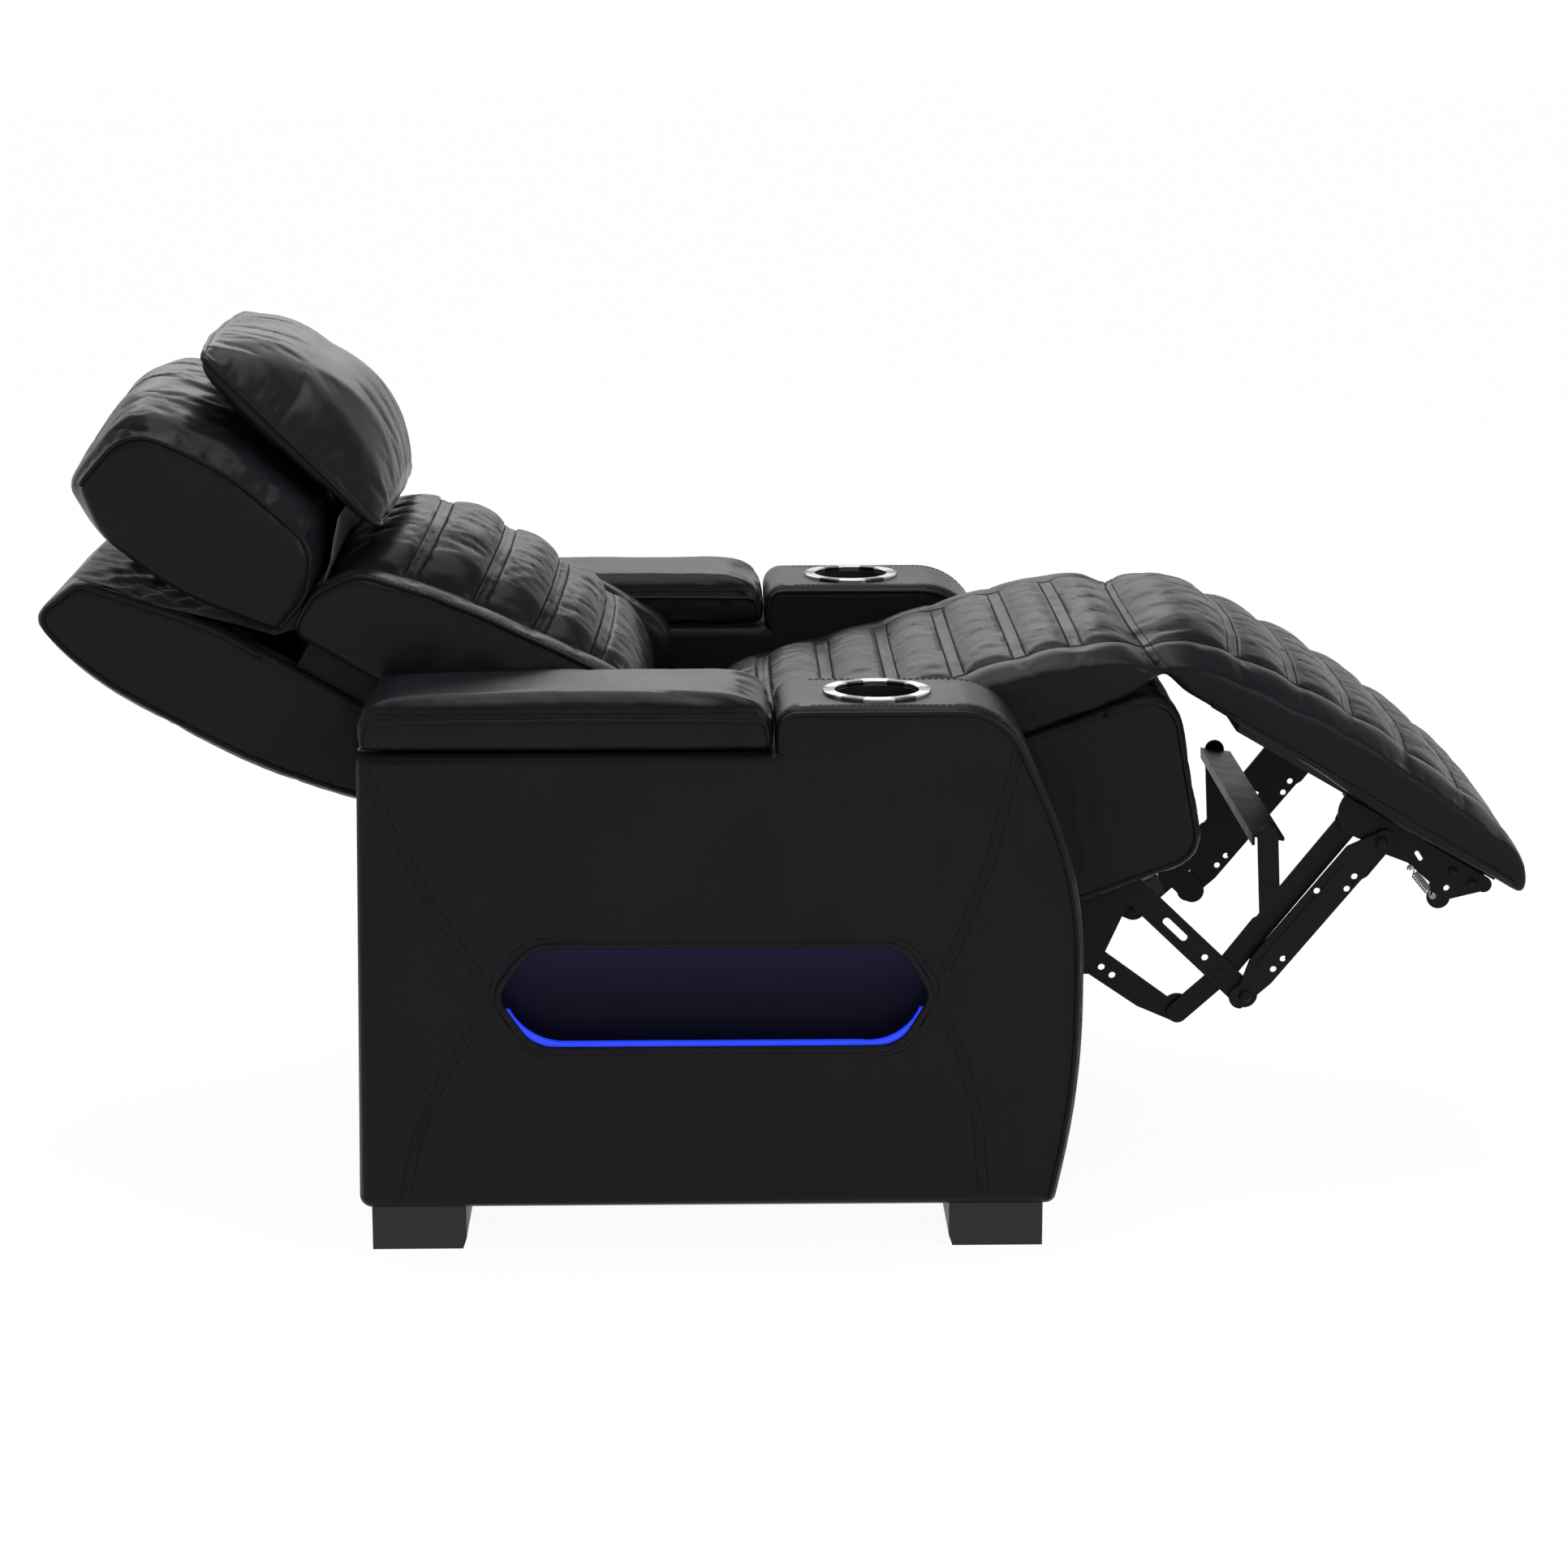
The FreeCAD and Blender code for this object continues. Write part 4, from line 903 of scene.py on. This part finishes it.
def rough_back():
    bm = evened(cad_copy("back_cushion"), 6.5, 4)
    sink(bm, back_seams, 4.0, 12.0)
    rumple(bm, 2.0, 55.0, 1.5)
    seamed = near_seams(back_seams)

    def held(point, normal):
        down = normal.dot(back_side.out) < -0.1
        side = 0.8 if abs(normal.x) > 0.75 else 0.0
        return max(seamed(point, normal), 1.0 if down else side)

    Cover("back_cover", bm, "leather", held, 4.0, 9.0, 0.05)


def rough_bolsters():
    for side, sign in SIDES:
        bm = evened(cad_copy("back_bolster_" + side), 6.0, 4)
        rumple(bm, 3.0 + sign, 50.0, 1.5)

        def held(point, normal):
            down = normal.dot(back_side.out) < -0.3
            edge = 0.3 < normal.x * sign < 0.9 and not down
            inner = normal.x * sign < -0.8
            return 1.0 if down else 0.9 if edge else 0.8 if inner else 0.1

        Cover("bolster_cover_" + side, bm, "leather", held, 4.0, 5.0, 0.03)


HEAD_SIDE = [(748.0, 0.0, 10.0), (730.0, 86.0, 50.0), (620.0, 98.0, 290.0), (492.0, 74.0, 46.0),
             (466.0, 18.0, 36.0), (474.0, -35.0, 6.0)]


def head_gather(point):
    """Gathers along the headrest's side panels and top edge."""
    across, along, out = back_side.to(point)
    side = bell(abs(across) - 268.0, 42.0)
    top = bell(along - 745.0, 30.0) * 0.5
    return max(side, top) if out > 30.0 else 0.0


def pleat(bm, gather, seed, pitch, height):
    """Presses gathers square to a seam: their depth follows the gather's weight."""
    def gathered(vert):
        weight = gather(vert.co)
        if weight < 0.03 or abs(vert.normal.x) > 0.8:
            return 0.0
        across, along, out = back_side.to(vert.co)
        wave = noise.noise(Vector((along / pitch, out / pitch * 0.5, across / (pitch * 7.0) + seed)))
        fine = noise.noise(Vector((along / (pitch * 0.45), seed * 3.0, across / (pitch * 4.0))))
        return (wave + 0.45 * fine) * height * weight

    push(bm, gathered)


def rough_head():
    bm = evened(cad_copy("headrest_block"), 6.0, 4)
    rumple(bm, 5.0, 70.0, 2.0)
    pleat(bm, head_gather, 2.0, 18.0, 2.4)

    def held(point, normal):
        edge = abs(back_side.to(point)[0]) > 272.0 and abs(normal.x) < 0.9
        under = normal.dot(back_side.out) < -0.35
        return 1.0 if edge or under else 0.12

    Cover("headrest_cover", bm, "leather", held, 3.5, 8.0, 0.06, head_gather)


def pillow_gather(point):
    """Gathers along the pillow's rim."""
    across, along, out = back_side.to(point)
    ends = bell(abs(across) - 226.0, 46.0)
    top = 0.6 * bell(along - 700.0, 34.0)
    return max(ends, top, 0.5 * bell(along - 436.0, 30.0))


def rough_pillow():
    bm = evened(cad_copy("head_pillow"), 5.5, 4)
    rumple(bm, 7.0, 60.0, 1.6)
    pleat(bm, pillow_gather, 4.0, 17.0, 0.9)

    def held(point, normal):
        across, along, out = back_side.to(point)
        rim = abs(across) > 224.0 or along > 697.0 or along < 440.0
        return 1.0 if rim else 0.0

    Cover("pillow_cover", bm, "leather", held, 4.0, 9.0, 0.05, pillow_gather)


LID_SEAM = 599.0
LID_FOOT = 568.0
LID_REACH = 3.4


def rough_lids():
    for side, sign in SIDES:
        bm = evened(cad_copy("lid_" + side), 5.0, 4)
        for offset in (-6.0, 0.0, 6.0):
            split_by(bm, Vector((0, 0, (LID_SEAM + offset) * MM)), Vector((0, 0, 1)))
        for vert in bm.verts:
            vert.co.y -= LID_REACH * ramp(-chair_side.to(vert.co)[1], 30.0, 54.0) * MM
        rumple(bm, 9.0 + sign, 70.0, 1.0)

        def held(point, normal):
            height = point.z / MM
            seam = abs(height - LID_SEAM) < 3.0 and abs(normal.x) > 0.5
            return 1.0 if seam or normal.z < -0.3 or height < LID_FOOT else 0.05

        Cover("lid_cover_" + side, bm, "leather", held, 4.5, 4.5, 0.02)


def rough_shell():
    bm = evened(cad_copy("back_shell"), 8.5, 3)
    rumple(bm, 11.0, 110.0, 1.6)

    def held(point, normal):
        inside = abs(back_side.to(point)[0]) < 266.0 and normal.dot(back_side.out) > 0.1
        return 1.0 if inside else 0.8 if 0.2 < abs(normal.x) < 0.9 else 0.15

    Cover("shell_cover", bm, "panel_leather", held, 3.0, 4.0, 0.02)


def rough_seat_box():
    bm = evened(cad_copy("seat_box"), 7.0, 3)
    rumple(bm, 13.0, 80.0, 1.2)

    def held(point, normal):
        inside = abs(point.x) < 270.0 * MM and seat_side.to(point)[1] > 30.0
        return 1.0 if inside else 0.9 if 0.2 < abs(normal.x) < 0.9 else 0.2

    Cover("seat_box_cover", bm, "panel_leather", held, 2.5, 2.5, 0.02)


class RECLINER_OT_covers(bpy.types.Operator):
    """Cuts the covers of the soft pieces and fills them"""

    bl_idname = "recliner.covers"
    bl_label = "Cut and fill the covers"

    def execute(self, context):
        for rough in (rough_chaise, rough_back, rough_bolsters, rough_head, rough_pillow, rough_lids,
                      rough_shell, rough_seat_box):
            rough()
        fill_covers()
        return {"FINISHED"}


def dress(name, nodes, body):
    """The filled cover takes its place on a body and stands for its frame nodes."""
    piece = covers[name].piece
    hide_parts(*nodes)
    if body:
        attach(piece, body)
    return piece


def sewn(name, seams):
    """Creases the filled cover along its seams."""
    piece = covers[name].piece
    bm = bmesh.new()
    bm.from_mesh(piece.data)
    bm.normal_update()
    sew(bm, seams)
    bm.to_mesh(piece.data)
    bm.free()
    piece.data.shade_smooth()
    return piece


def seam_rows(tree, seams):
    return [seam.path(tree, row) for seam in seams for row in seam.rows()]


BLEND_REACH = 42.0
KNEE_STITCH = -8.0
SUNK = -0.2
LEG_WELT = [(20.0, 22.0), (-30.0, 21.0), (-90.0, 22.0), (-150.0, 21.0), (-220.0, 19.0), (-290.0, 19.0),
            (-350.0, 20.0), (-385.0, 18.0)]


class RECLINER_OT_chaise(bpy.types.Operator):
    """Sews the channels of the seat and leg rest, one cover over both"""

    bl_idname = "recliner.chaise"
    bl_label = "Seat and leg rest"

    def execute(self, context):
        piece = sewn("chaise_cover", chaise_seams)
        tree = tree_of(piece)
        rows = seam_rows(tree, chaise_seams) + [knee_seam.path(tree, KNEE_STITCH)]
        thread = stitches("chaise_stitches", rows, lift=SUNK)
        edge = knee_seam.normal * BLEND_REACH * MM
        for soft in (piece, thread):
            knee_seam.point + edge
            knee_seam.point - edge
            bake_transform(soft)
        dress("chaise_cover", ("seat_cushion", "footrest_pad"), None)
        for side, sign in SIDES:
            inward = Vector((-sign, 0, 0))
            points = [leg_side.at(sign * (SIDE_FACE + 14.0), along, out) for along, out in LEG_WELT]
            hits = [tree.ray_cast(point, inward, 0.08) for point in points]
            path = lifted([hit[:2] for hit in hits if hit[0]], 0.8)
            welt("leg_welt_" + side, [path], "leg_rest")
        return {"FINISHED"}


BOLSTER_EDGE = [(470.0, -28.0, 0), (468.0, 24.0, 34.0), (436.0, 72.0, 46.0), (330.0, 94.0, 600.0),
                (150.0, 108.0, 300.0), (52.0, 104.0, 0)]
BOLSTER_STITCH = 7.0
BOLSTER_FACE = 282.0


class RECLINER_OT_back(bpy.types.Operator):
    """Sews the channels of the back cushion and pipes the side bolsters"""

    bl_idname = "recliner.back"
    bl_label = "Back and bolsters"

    def execute(self, context):
        piece = sewn("back_cover", back_seams)
        stitches("back_stitches", seam_rows(tree_of(piece), back_seams), "back", SUNK)
        dress("back_cover", ("back_cushion",), "back")
        for side, sign in SIDES:
            bolster = dress("bolster_cover_" + side, ("back_bolster_" + side,), "back")
            tree = tree_of(bolster)
            outer = edge_line(tree, back_side, sign * BOLSTER_FACE, BOLSTER_EDGE)
            welt("bolster_welt_" + side, [lifted(outer, 1.2)], "back")
            row = hugged(tree, [point - X_AXIS * sign * BOLSTER_STITCH * MM for point, normal in outer])
            stitches("bolster_stitches_" + side, [row], "back")
        return {"FINISHED"}


PILLOW_PLAN = [(234.0, 708.0, 14.0), (-234.0, 708.0, 14.0), (-234.0, 428.0, 14.0), (234.0, 428.0, 14.0)]
PILLOW_FOOT = (434.0, 115.0)
PILLOW_LEAN = 0.28
HEAD_FACE = 281.0


class RECLINER_OT_headrest(bpy.types.Operator):
    """Pipes the headrest block and the head pillow"""

    bl_idname = "recliner.headrest"
    bl_label = "Headrest and pillow"

    def execute(self, context):
        block = dress("headrest_cover", ("headrest_block",), "headrest")
        tree = tree_of(block)
        for side, sign in SIDES:
            path = edge_line(tree, back_side, sign * HEAD_FACE, HEAD_SIDE)
            welt("headrest_welt_" + side, [lifted(path, 1.4)], "headrest")
        pillow = dress("pillow_cover", ("head_pillow",), "headrest")
        foot, rise = PILLOW_FOOT
        ring = [back_side.at(across * 1.01, along, rise + (along - foot) * PILLOW_LEAN)
                for across, along in drawn(rounded(PILLOW_PLAN), 9.0)]
        welt("pillow_welt", [lifted(hugged(tree_of(pillow), ring), 0.8)], "headrest", True)
        return {"FINISHED"}


LINING_PATH = [(704.0, -98.0), (664.0, -87.0), (600.0, -77.0), (548.0, -62.0), (520.0, -54.0),
               (478.0, -44.0), (459.0, -24.0), (458.0, 30.0), (464.0, 60.0), (473.0, 85.0), (480.0, 108.0)]
LINING_HALF = 258.0
LINING_STEP = 6.0
LINING_COLUMNS = 88
CRUMPLE = 5.5


class RECLINER_OT_lining(bpy.types.Operator):
    """Hangs the crumpled lining cloth between the back shell and the headrest"""

    bl_idname = "recliner.lining"
    bl_label = "Headrest lining"

    def execute(self, context):
        path = drawn([Vector(point) for point in LINING_PATH], LINING_STEP)
        rows = len(path) - 1
        bm = bmesh.new()
        bmesh.ops.create_grid(bm, x_segments=LINING_COLUMNS, y_segments=rows, size=0.5)
        for vert in bm.verts:
            across = vert.co.x * 2.0 * LINING_HALF
            along, out = path[round((vert.co.y + 0.5) * rows)]
            place = Vector((across / 34.0, along / 16.0, 0.0))
            fold = noise.noise(place) + 0.5 * noise.noise(place * 2.3 + Vector((7.0, 0.0, 3.0)))
            loose = bell(along - 620.0, 70.0) * (1.0 - bell(abs(across) - LINING_HALF, 10.0))
            vert.co = back_side.at(across, along, out + fold * CRUMPLE * loose)
        bmesh.ops.recalc_face_normals(bm, faces=bm.faces)
        piece = piece_from("headrest_lining", bm, "lining")
        length = sum((q - p).length for p, q in zip(path, path[1:])) * MM
        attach(piece, "back")
        return {"FINISHED"}


LID_PANEL = [(-57.0, LID_FOOT, 0), (-55.0, 598.0, 12.0), (160.0, 601.0, 2000.0), (384.0, 597.0, 12.0),
             (389.0, LID_FOOT, 0)]
LID_ROWS = (8.0, 15.0)
LID_LENGTH = range(-40, 372, 6)


class RECLINER_OT_lids(bpy.types.Operator):
    """Pipes and topstitches the two bin lids"""

    bl_idname = "recliner.lids"
    bl_label = "Bin lids"

    def execute(self, context):
        for side, sign in SIDES:
            body = "lid_" + side
            tree = tree_of(dress("lid_cover_" + side, (body,), body))
            welts = []
            rows = []
            for x, way in ARM_FACES:
                path = edge_line(tree, chair_side, sign * (x + way * 3.0), LID_PANEL, chord=5.0)
                welts.append(lifted(path, 0.8))
                for rise in LID_ROWS:
                    inset = sign * (x - way * rise * 0.35)
                    rows.append(hugged(tree, [chair_side.at(inset, y, LID_SEAM + rise) for y in LID_LENGTH]))
            welt("lid_welts_" + side, welts, body, radius=2.2 * MM)
            stitches("lid_stitches_" + side, rows, body)
        return {"FINISHED"}


SHELL_EDGE = [(30.0, -94.0, 0), (420.0, -180.0, 900.0), (640.0, -182.0, 350.0), (722.0, -156.0, 16.0),
              (696.0, -96.0, 16.0), (545.0, -66.0, 300.0), (480.0, -66.0, 0)]
BOX_EDGE = [(90.0, 2.0, 0), (8.0, 2.0, 38.0), (40.0, -191.0, 36.0), (400.0, -191.0, 0)]
CASING_FACE = 285.0


class RECLINER_OT_casings(bpy.types.Operator):
    """Pipes the back shell and the seat box"""

    bl_idname = "recliner.casings"
    bl_label = "Back shell and seat box"

    def execute(self, context):
        tree = tree_of(dress("shell_cover", ("back_shell",), "back"))
        box_tree = tree_of(dress("seat_box_cover", ("seat_box",), "seat"))
        for side, sign in SIDES:
            path = edge_line(tree, back_side, sign * CASING_FACE, SHELL_EDGE, 10.0)
            welt("shell_welt_" + side, [lifted(path, 0.8)], "back")
            path = edge_line(box_tree, seat_side, sign * CASING_FACE, BOX_EDGE)
            welt("seat_box_welt_" + side, [lifted(path, 0.8)], "seat")
        return {"FINISHED"}


# The arms
POCKET_CORNERS = [(205.0, 350.5, 46.0), (-199.0, 350.5, 46.0), (-236.0, 292.0, 26.0),
                  (-199.0, 231.0, 46.0), (205.0, 231.0, 46.0), (248.0, 292.0, 26.0)]
POCKET_MIDDLE = 291.0
POCKET_STITCH = (8.0, 7.5)
POCKET_LIP = 4.2 * MM
PANEL_BULGE = 4.0
BULGE_EDGE = 38.0
PANEL_CELLS = ((16.0, (1, 2)), (30.0, (0,)))
ARM_SEAMS = (
    [(380.0, 545.0), (355.0, 483.0), (313.0, 402.0), (262.0, 318.0)],
    [(262.0, 268.0), (299.0, 209.0), (332.0, 135.0), (349.0, 56.0)],
    [(-323.0, 562.0), (-294.0, 444.0), (-264.0, 362.0), (-246.0, 318.0)],
    [(-246.0, 268.0), (-266.0, 224.0), (-284.0, 149.0), (-292.0, 56.0)],
)
ARM_PANEL = [(-62.0, 566.0, 0), (-69.0, 606.5, 17.0), (-308.5, 606.5, 74.0), (-391.5, 419.5, 443.0),
             (-391.5, 184.0, 893.0), (-366.0, 58.0, 0)]


def gridded(bm, low, high, pitch, ways):
    """Cuts a mesh into cells of an even pitch."""
    for axis in ways:
        normal = Vector([1.0 if i == axis else 0.0 for i in range(3)])
        count = int((high[axis] - low[axis]) / (pitch * MM))
        for index in range(1, count):
            at = low[axis] + (high[axis] - low[axis]) * index / count
            split_by(bm, normal * at, normal)


def puffed_sides(bm):
    """Swells the flat outer side panels between their edges."""
    bm.normal_update()
    edges = [v for v in bm.verts if any(abs(f.normal.x) < 0.93 for f in v.link_faces)]
    tree = KDTree(len(edges))
    for index, vert in enumerate(edges):
        tree.insert(vert.co, index)
    tree.balance()
    for vert in bm.verts:
        outside = abs(abs(vert.co.x) / MM - ARM_OUTER) < 1.0
        if outside and all(abs(f.normal.x) > 0.97 for f in vert.link_faces):
            far = tree.find(vert.co)[2] / MM
            uneven = 1.0 + 0.25 * wrinkle(vert.co, 21.0, 150.0)
            rise = PANEL_BULGE * (1.0 - bell(far, BULGE_EDGE)) * uneven
            vert.co.x += math.copysign(rise, vert.normal.x) * MM


class RECLINER_OT_arms(bpy.types.Operator):
    """Upholsters the arms: panels, piping, curved double seams and the lip of the lit pocket"""

    bl_idname = "recliner.arms"
    bl_label = "Arms"

    def execute(self, context):
        for side, sign in SIDES:
            node = "arm_" + side
            bm = outermost(cad_copy(node))
            low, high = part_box(node)
            for pitch, ways in PANEL_CELLS:
                gridded(bm, low, high, pitch, ways)
            puffed_sides(bm)
            arm = piece_from("arm_cover_" + side, bm, "panel_leather", 34)
            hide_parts(node)
            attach(arm, "base")
            self.trim(side, sign, tree_of(arm))
        return {"FINISHED"}

    def trim(self, side, sign, tree):
        outline = drawn(rounded(ARM_PANEL, closed=False), 10.0)

        def on_face(line, step=None):
            """A line of the side view on the arm's outer face."""
            points = [chair_side.at(sign * ARM_OUTER, y, z) for y, z in line]
            return settle(tree, drawn(points, step * MM) if step else points, Vector((-sign, 0.0, 0.0)))

        paths = []
        rows = []
        for x, way in ARM_FACES:
            points = [chair_side.at(sign * (x + way * 2.0), y, z) for y, z in outline]
            paths.append(lifted(hugged(tree, points), 0.5))
            rows.append(hugged(tree, [chair_side.at(sign * (x - way * 14.0), y, z) for y, z in outline[8:]]))
        welt("arm_welts_" + side, paths, "base")
        for line in ARM_SEAMS:
            rows += [on_face([(y + shift, z) for y, z in line], 9.0) for shift in (-5.5, 5.5)]
        aside, above = POCKET_STITCH
        ring = rounded([(y + math.copysign(aside, y), z + math.copysign(above, z - POCKET_MIDDLE), radius)
                        for y, z, radius in POCKET_CORNERS])
        rows.append(on_face(ring + ring[:1]))
        stitches("arm_stitches_" + side, rows, "base", 0.0)
        folds = [lifted(on_face(line, 9.0), -0.6) for line in ARM_SEAMS]
        welt("arm_folds_" + side, folds, "base", radius=1.3 * MM)
        lip = [chair_side.at(sign * (ARM_OUTER - 1.5), y, z) for y, z in rounded(POCKET_CORNERS)]
        welt("pocket_lip_" + side, [lip], "base", True, POCKET_LIP)


def both(*names):
    """The right and the left node of each name."""
    return tuple(name + "_" + side for name in names for side, sign in SIDES)


# What keeps its frame shape takes a finish
FINISHES = {
    "paint": ("drop_links", "short_rear_links", "long_links", "stabiliser_bar", "wide_links",
              "footrest_brackets", "base_cross_tubes", "back_frame", "headrest_frame",
              *both("seat_plate", "base_rail")),
    "bright": ("return_springs", "glide_tracks", "drive_slider", "headrest_rod", "lid_hinge_bases",
               *both("lid_hinge_leaf")),
    "plastic": ("power_box", "power_inlet", "recline_motor", "headrest_motor",
                *both("foot_front", "foot_rear", "storage_bin")),
    "panel": ("control_panel", "button_recline", "button_return", "button_head_up", "button_head_down",
              "button_light"),
    "steel": both("cup_holder"),
    "lens": both("cup_light"),
    "pocket": both("light_pocket"),
    "glow": both("led_strip"),
    "board": ("footrest_board", "rear_stretcher"),
}


class RECLINER_OT_hardware(bpy.types.Operator):
    """Gives the mechanism, cup holders, lights, feet and panel their finishes"""

    bl_idname = "recliner.hardware"
    bl_label = "Hardware"

    def execute(self, context):
        for finish, nodes in FINISHES.items():
            material = finish_of(finish)
            for node in nodes:
                mesh = frame["nodes"][node].data
                mesh.materials.clear()
                mesh.materials.append(material)
                mesh.set_sharp_from_angle(angle=math.radians(HARD_EDGE))
        return {"FINISHED"}


# Rivet heads by body: side frame, place along and out, distance from the middle, radius
RIVETS = {
    "drop_link": ((seat_turned, 163.7, -122.7, 244.0, 7.5),),
    "leg_rest": ((leg_side, -356.0, -10.0, 246.0, 5.0), (leg_side, -330.0, -10.0, 246.0, 5.0)),
    "rear_link": ((seat_turned, 147.9, -310.9, 228.0, 6.5),),
    "wide_link": ((seat_turned, 68.6, -315.9, 251.4, 7.5), (seat_turned, -136.0, -197.1, 251.2, 7.0),
                  (seat_turned, 8.0, -290.0, 250.0, 3.4), (seat_turned, -92.0, -232.0, 250.0, 3.4)),
}
RIVET_FLATNESS = 0.42


class RECLINER_OT_rivets(bpy.types.Operator):
    """Heads the rivets of the linkage"""

    bl_idname = "recliner.rivets"
    bl_label = "Rivet heads"

    def execute(self, context):
        for body, heads in RIVETS.items():
            bm = bmesh.new()
            for view, along, out, x, radius in heads:
                for side, sign in SIDES:
                    made = bmesh.ops.create_uvsphere(bm, u_segments=12, v_segments=8, radius=radius * MM)
                    bmesh.ops.scale(bm, verts=made["verts"], vec=(RIVET_FLATNESS, 1.0, 1.0))
                    bmesh.ops.translate(bm, verts=made["verts"], vec=view.at(sign * x, along, out))
            piece = piece_from("rivets_" + body, bm, "paint")
            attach(piece, body)
        return {"FINISHED"}


# The stage
CAMERA_PLACE = (-4516.29, 14.5, 1447.83)
CAMERA_DOWN = 0.222957
CAMERA_YAW = 0.020997
FOCAL_PIXELS = 4746.96
IMAGE_SIDE = 1932
SENSOR = 36.0
FLOOR_RADIUS = 30.0
FLOOR_DROP = 0.0005
# Soft boxes: name, place, aim, width and height, watts
LAMPS = (
    ("top_softbox", (0.2, 0.1, 2.9), (0.0, 0.0, 0.4), (1.5, 2.6), 40.0),
    ("rear_softbox", (2.8, 0.5, 2.1), (0.0, 0.0, 0.5), (2.4, 1.3), 17.0),
    ("front_softbox", (-2.4, -2.2, 2.3), (0.0, 0.0, 0.5), (1.2, 1.2), 20.0),
)
# Strength of the white backdrop: for diffuse light and as seen by the camera
BACKDROP = (0.55, 1.0)
# Height in the mirrored sky where the white backdrop ends and the dim ceiling begins, and their levels
CEILING = (0.32, 0.68, 1.0, 0.22)


def lamp(name, place, aim, size, power):
    light = bpy.data.lights.new(name, "AREA")
    light.shape = "RECTANGLE"
    light.size, light.size_y = size
    light.energy = power
    holder = linked(name, light)
    holder.location = place
    holder.rotation_euler = (Vector(aim) - Vector(place)).to_track_quat("-Z", "Y").to_euler()


class RECLINER_OT_stage(bpy.types.Operator):
    """Sets the camera, the floor and plain studio light"""

    bl_idname = "recliner.stage"
    bl_label = "Stage"

    def execute(self, context):
        scene = context.scene
        scene.view_settings.view_transform = "Standard"
        self.camera(scene)
        self.floor()
        self.world(scene)
        for placed in LAMPS:
            lamp(*placed)
        return {"FINISHED"}

    def camera(self, scene):
        down = Vector((math.cos(CAMERA_DOWN) * math.cos(CAMERA_YAW),
                       -math.cos(CAMERA_DOWN) * math.sin(CAMERA_YAW), -math.sin(CAMERA_DOWN)))
        right = Vector((-math.sin(CAMERA_YAW), -math.cos(CAMERA_YAW), 0.0))
        turn = Matrix((right, right.cross(down), -down)).transposed().to_4x4()
        camera = linked("camera", bpy.data.cameras.new("camera"))
        camera.data.sensor_width = SENSOR
        camera.data.lens = FOCAL_PIXELS / IMAGE_SIDE * SENSOR
        camera.matrix_world = Matrix.Translation(chair_side.at(*CAMERA_PLACE)) @ turn
        scene.camera = camera

    def floor(self):
        bm = bmesh.new()
        bmesh.ops.create_circle(bm, cap_ends=True, segments=64, radius=FLOOR_RADIUS)
        bmesh.ops.translate(bm, verts=bm.verts, vec=(0.0, 0.0, -FLOOR_DROP))
        piece_from("floor", bm, "floor")

    def world(self, scene):
        """White to the camera, weaker for diffuse light, with a dim ceiling in reflections."""
        world = bpy.data.worlds.new("studio")
        world.use_nodes = True
        scene.world = world
        sky = Nodes(world.node_tree)
        seen, clear, glossy = sky.rays("Camera", "Transmission", "Glossy")
        dark, bright = BACKDROP
        backdrop = sky.node("ShaderNodeMapRange", {}, {
            "Value": seen.with_("MAXIMUM", seen, clear), "To Min": dark, "To Max": bright})
        way = sky.node("ShaderNodeTexCoord", {}, {}, "Generated")
        span = dict(zip(("From Min", "From Max", "To Min", "To Max"), CEILING))
        span["Value"] = sky.node("ShaderNodeSeparateXYZ", {}, {0: way}, 2)
        ceiling = sky.node("ShaderNodeMapRange", {"interpolation_type": "SMOOTHSTEP"}, span)
        background = world.node_tree.nodes["Background"]
        background.inputs["Color"].default_value = (1.0, 1.0, 1.0, 1.0)
        strength = sky.node("ShaderNodeMix", {}, {0: glossy, 2: backdrop, 3: ceiling})
        sky.feed(background.inputs["Strength"], strength)


OPERATORS = (
    RECLINER_OT_stage, RECLINER_OT_hardware, RECLINER_OT_covers, RECLINER_OT_chaise, RECLINER_OT_back,
    RECLINER_OT_headrest, RECLINER_OT_lining, RECLINER_OT_lids, RECLINER_OT_casings, RECLINER_OT_arms,
    RECLINER_OT_rivets)


class RECLINER_PT_panel(bpy.types.Panel):
    """Lists the pieces of the recliner"""

    bl_idname = "RECLINER_PT_panel"
    bl_label = "Cinema recliner"
    bl_space_type = "VIEW_3D"
    bl_region_type = "UI"
    bl_category = "Recliner"

    def draw(self, context):
        column = self.layout.column()
        for group in (context.scene.recliner_finish, context.scene.recliner_sewing):
            for key in group.bl_rna.properties.keys()[2:]:
                column.prop(group, key)
        for operator in OPERATORS:
            column.operator(operator.bl_idname)


CLASSES = (ReclinerFinish, ReclinerSewing, *OPERATORS, RECLINER_PT_panel)


def register():
    for cls in CLASSES:
        bpy.utils.register_class(cls)
    bpy.types.Scene.recliner_finish = PointerProperty(type=ReclinerFinish)
    bpy.types.Scene.recliner_sewing = PointerProperty(type=ReclinerSewing)


def unregister():
    del bpy.types.Scene.recliner_sewing
    del bpy.types.Scene.recliner_finish
    for cls in reversed(CLASSES):
        bpy.utils.unregister_class(cls)


def main():
    register()
    bpy.ops.recliner.stage()
    bpy.ops.recliner.hardware()
    bpy.ops.recliner.covers()
    bpy.ops.recliner.chaise()
    bpy.ops.recliner.back()
    bpy.ops.recliner.headrest()
    bpy.ops.recliner.lining()
    bpy.ops.recliner.lids()
    bpy.ops.recliner.casings()
    bpy.ops.recliner.arms()
    bpy.ops.recliner.rivets()


if __name__ == "__main__":
    main()
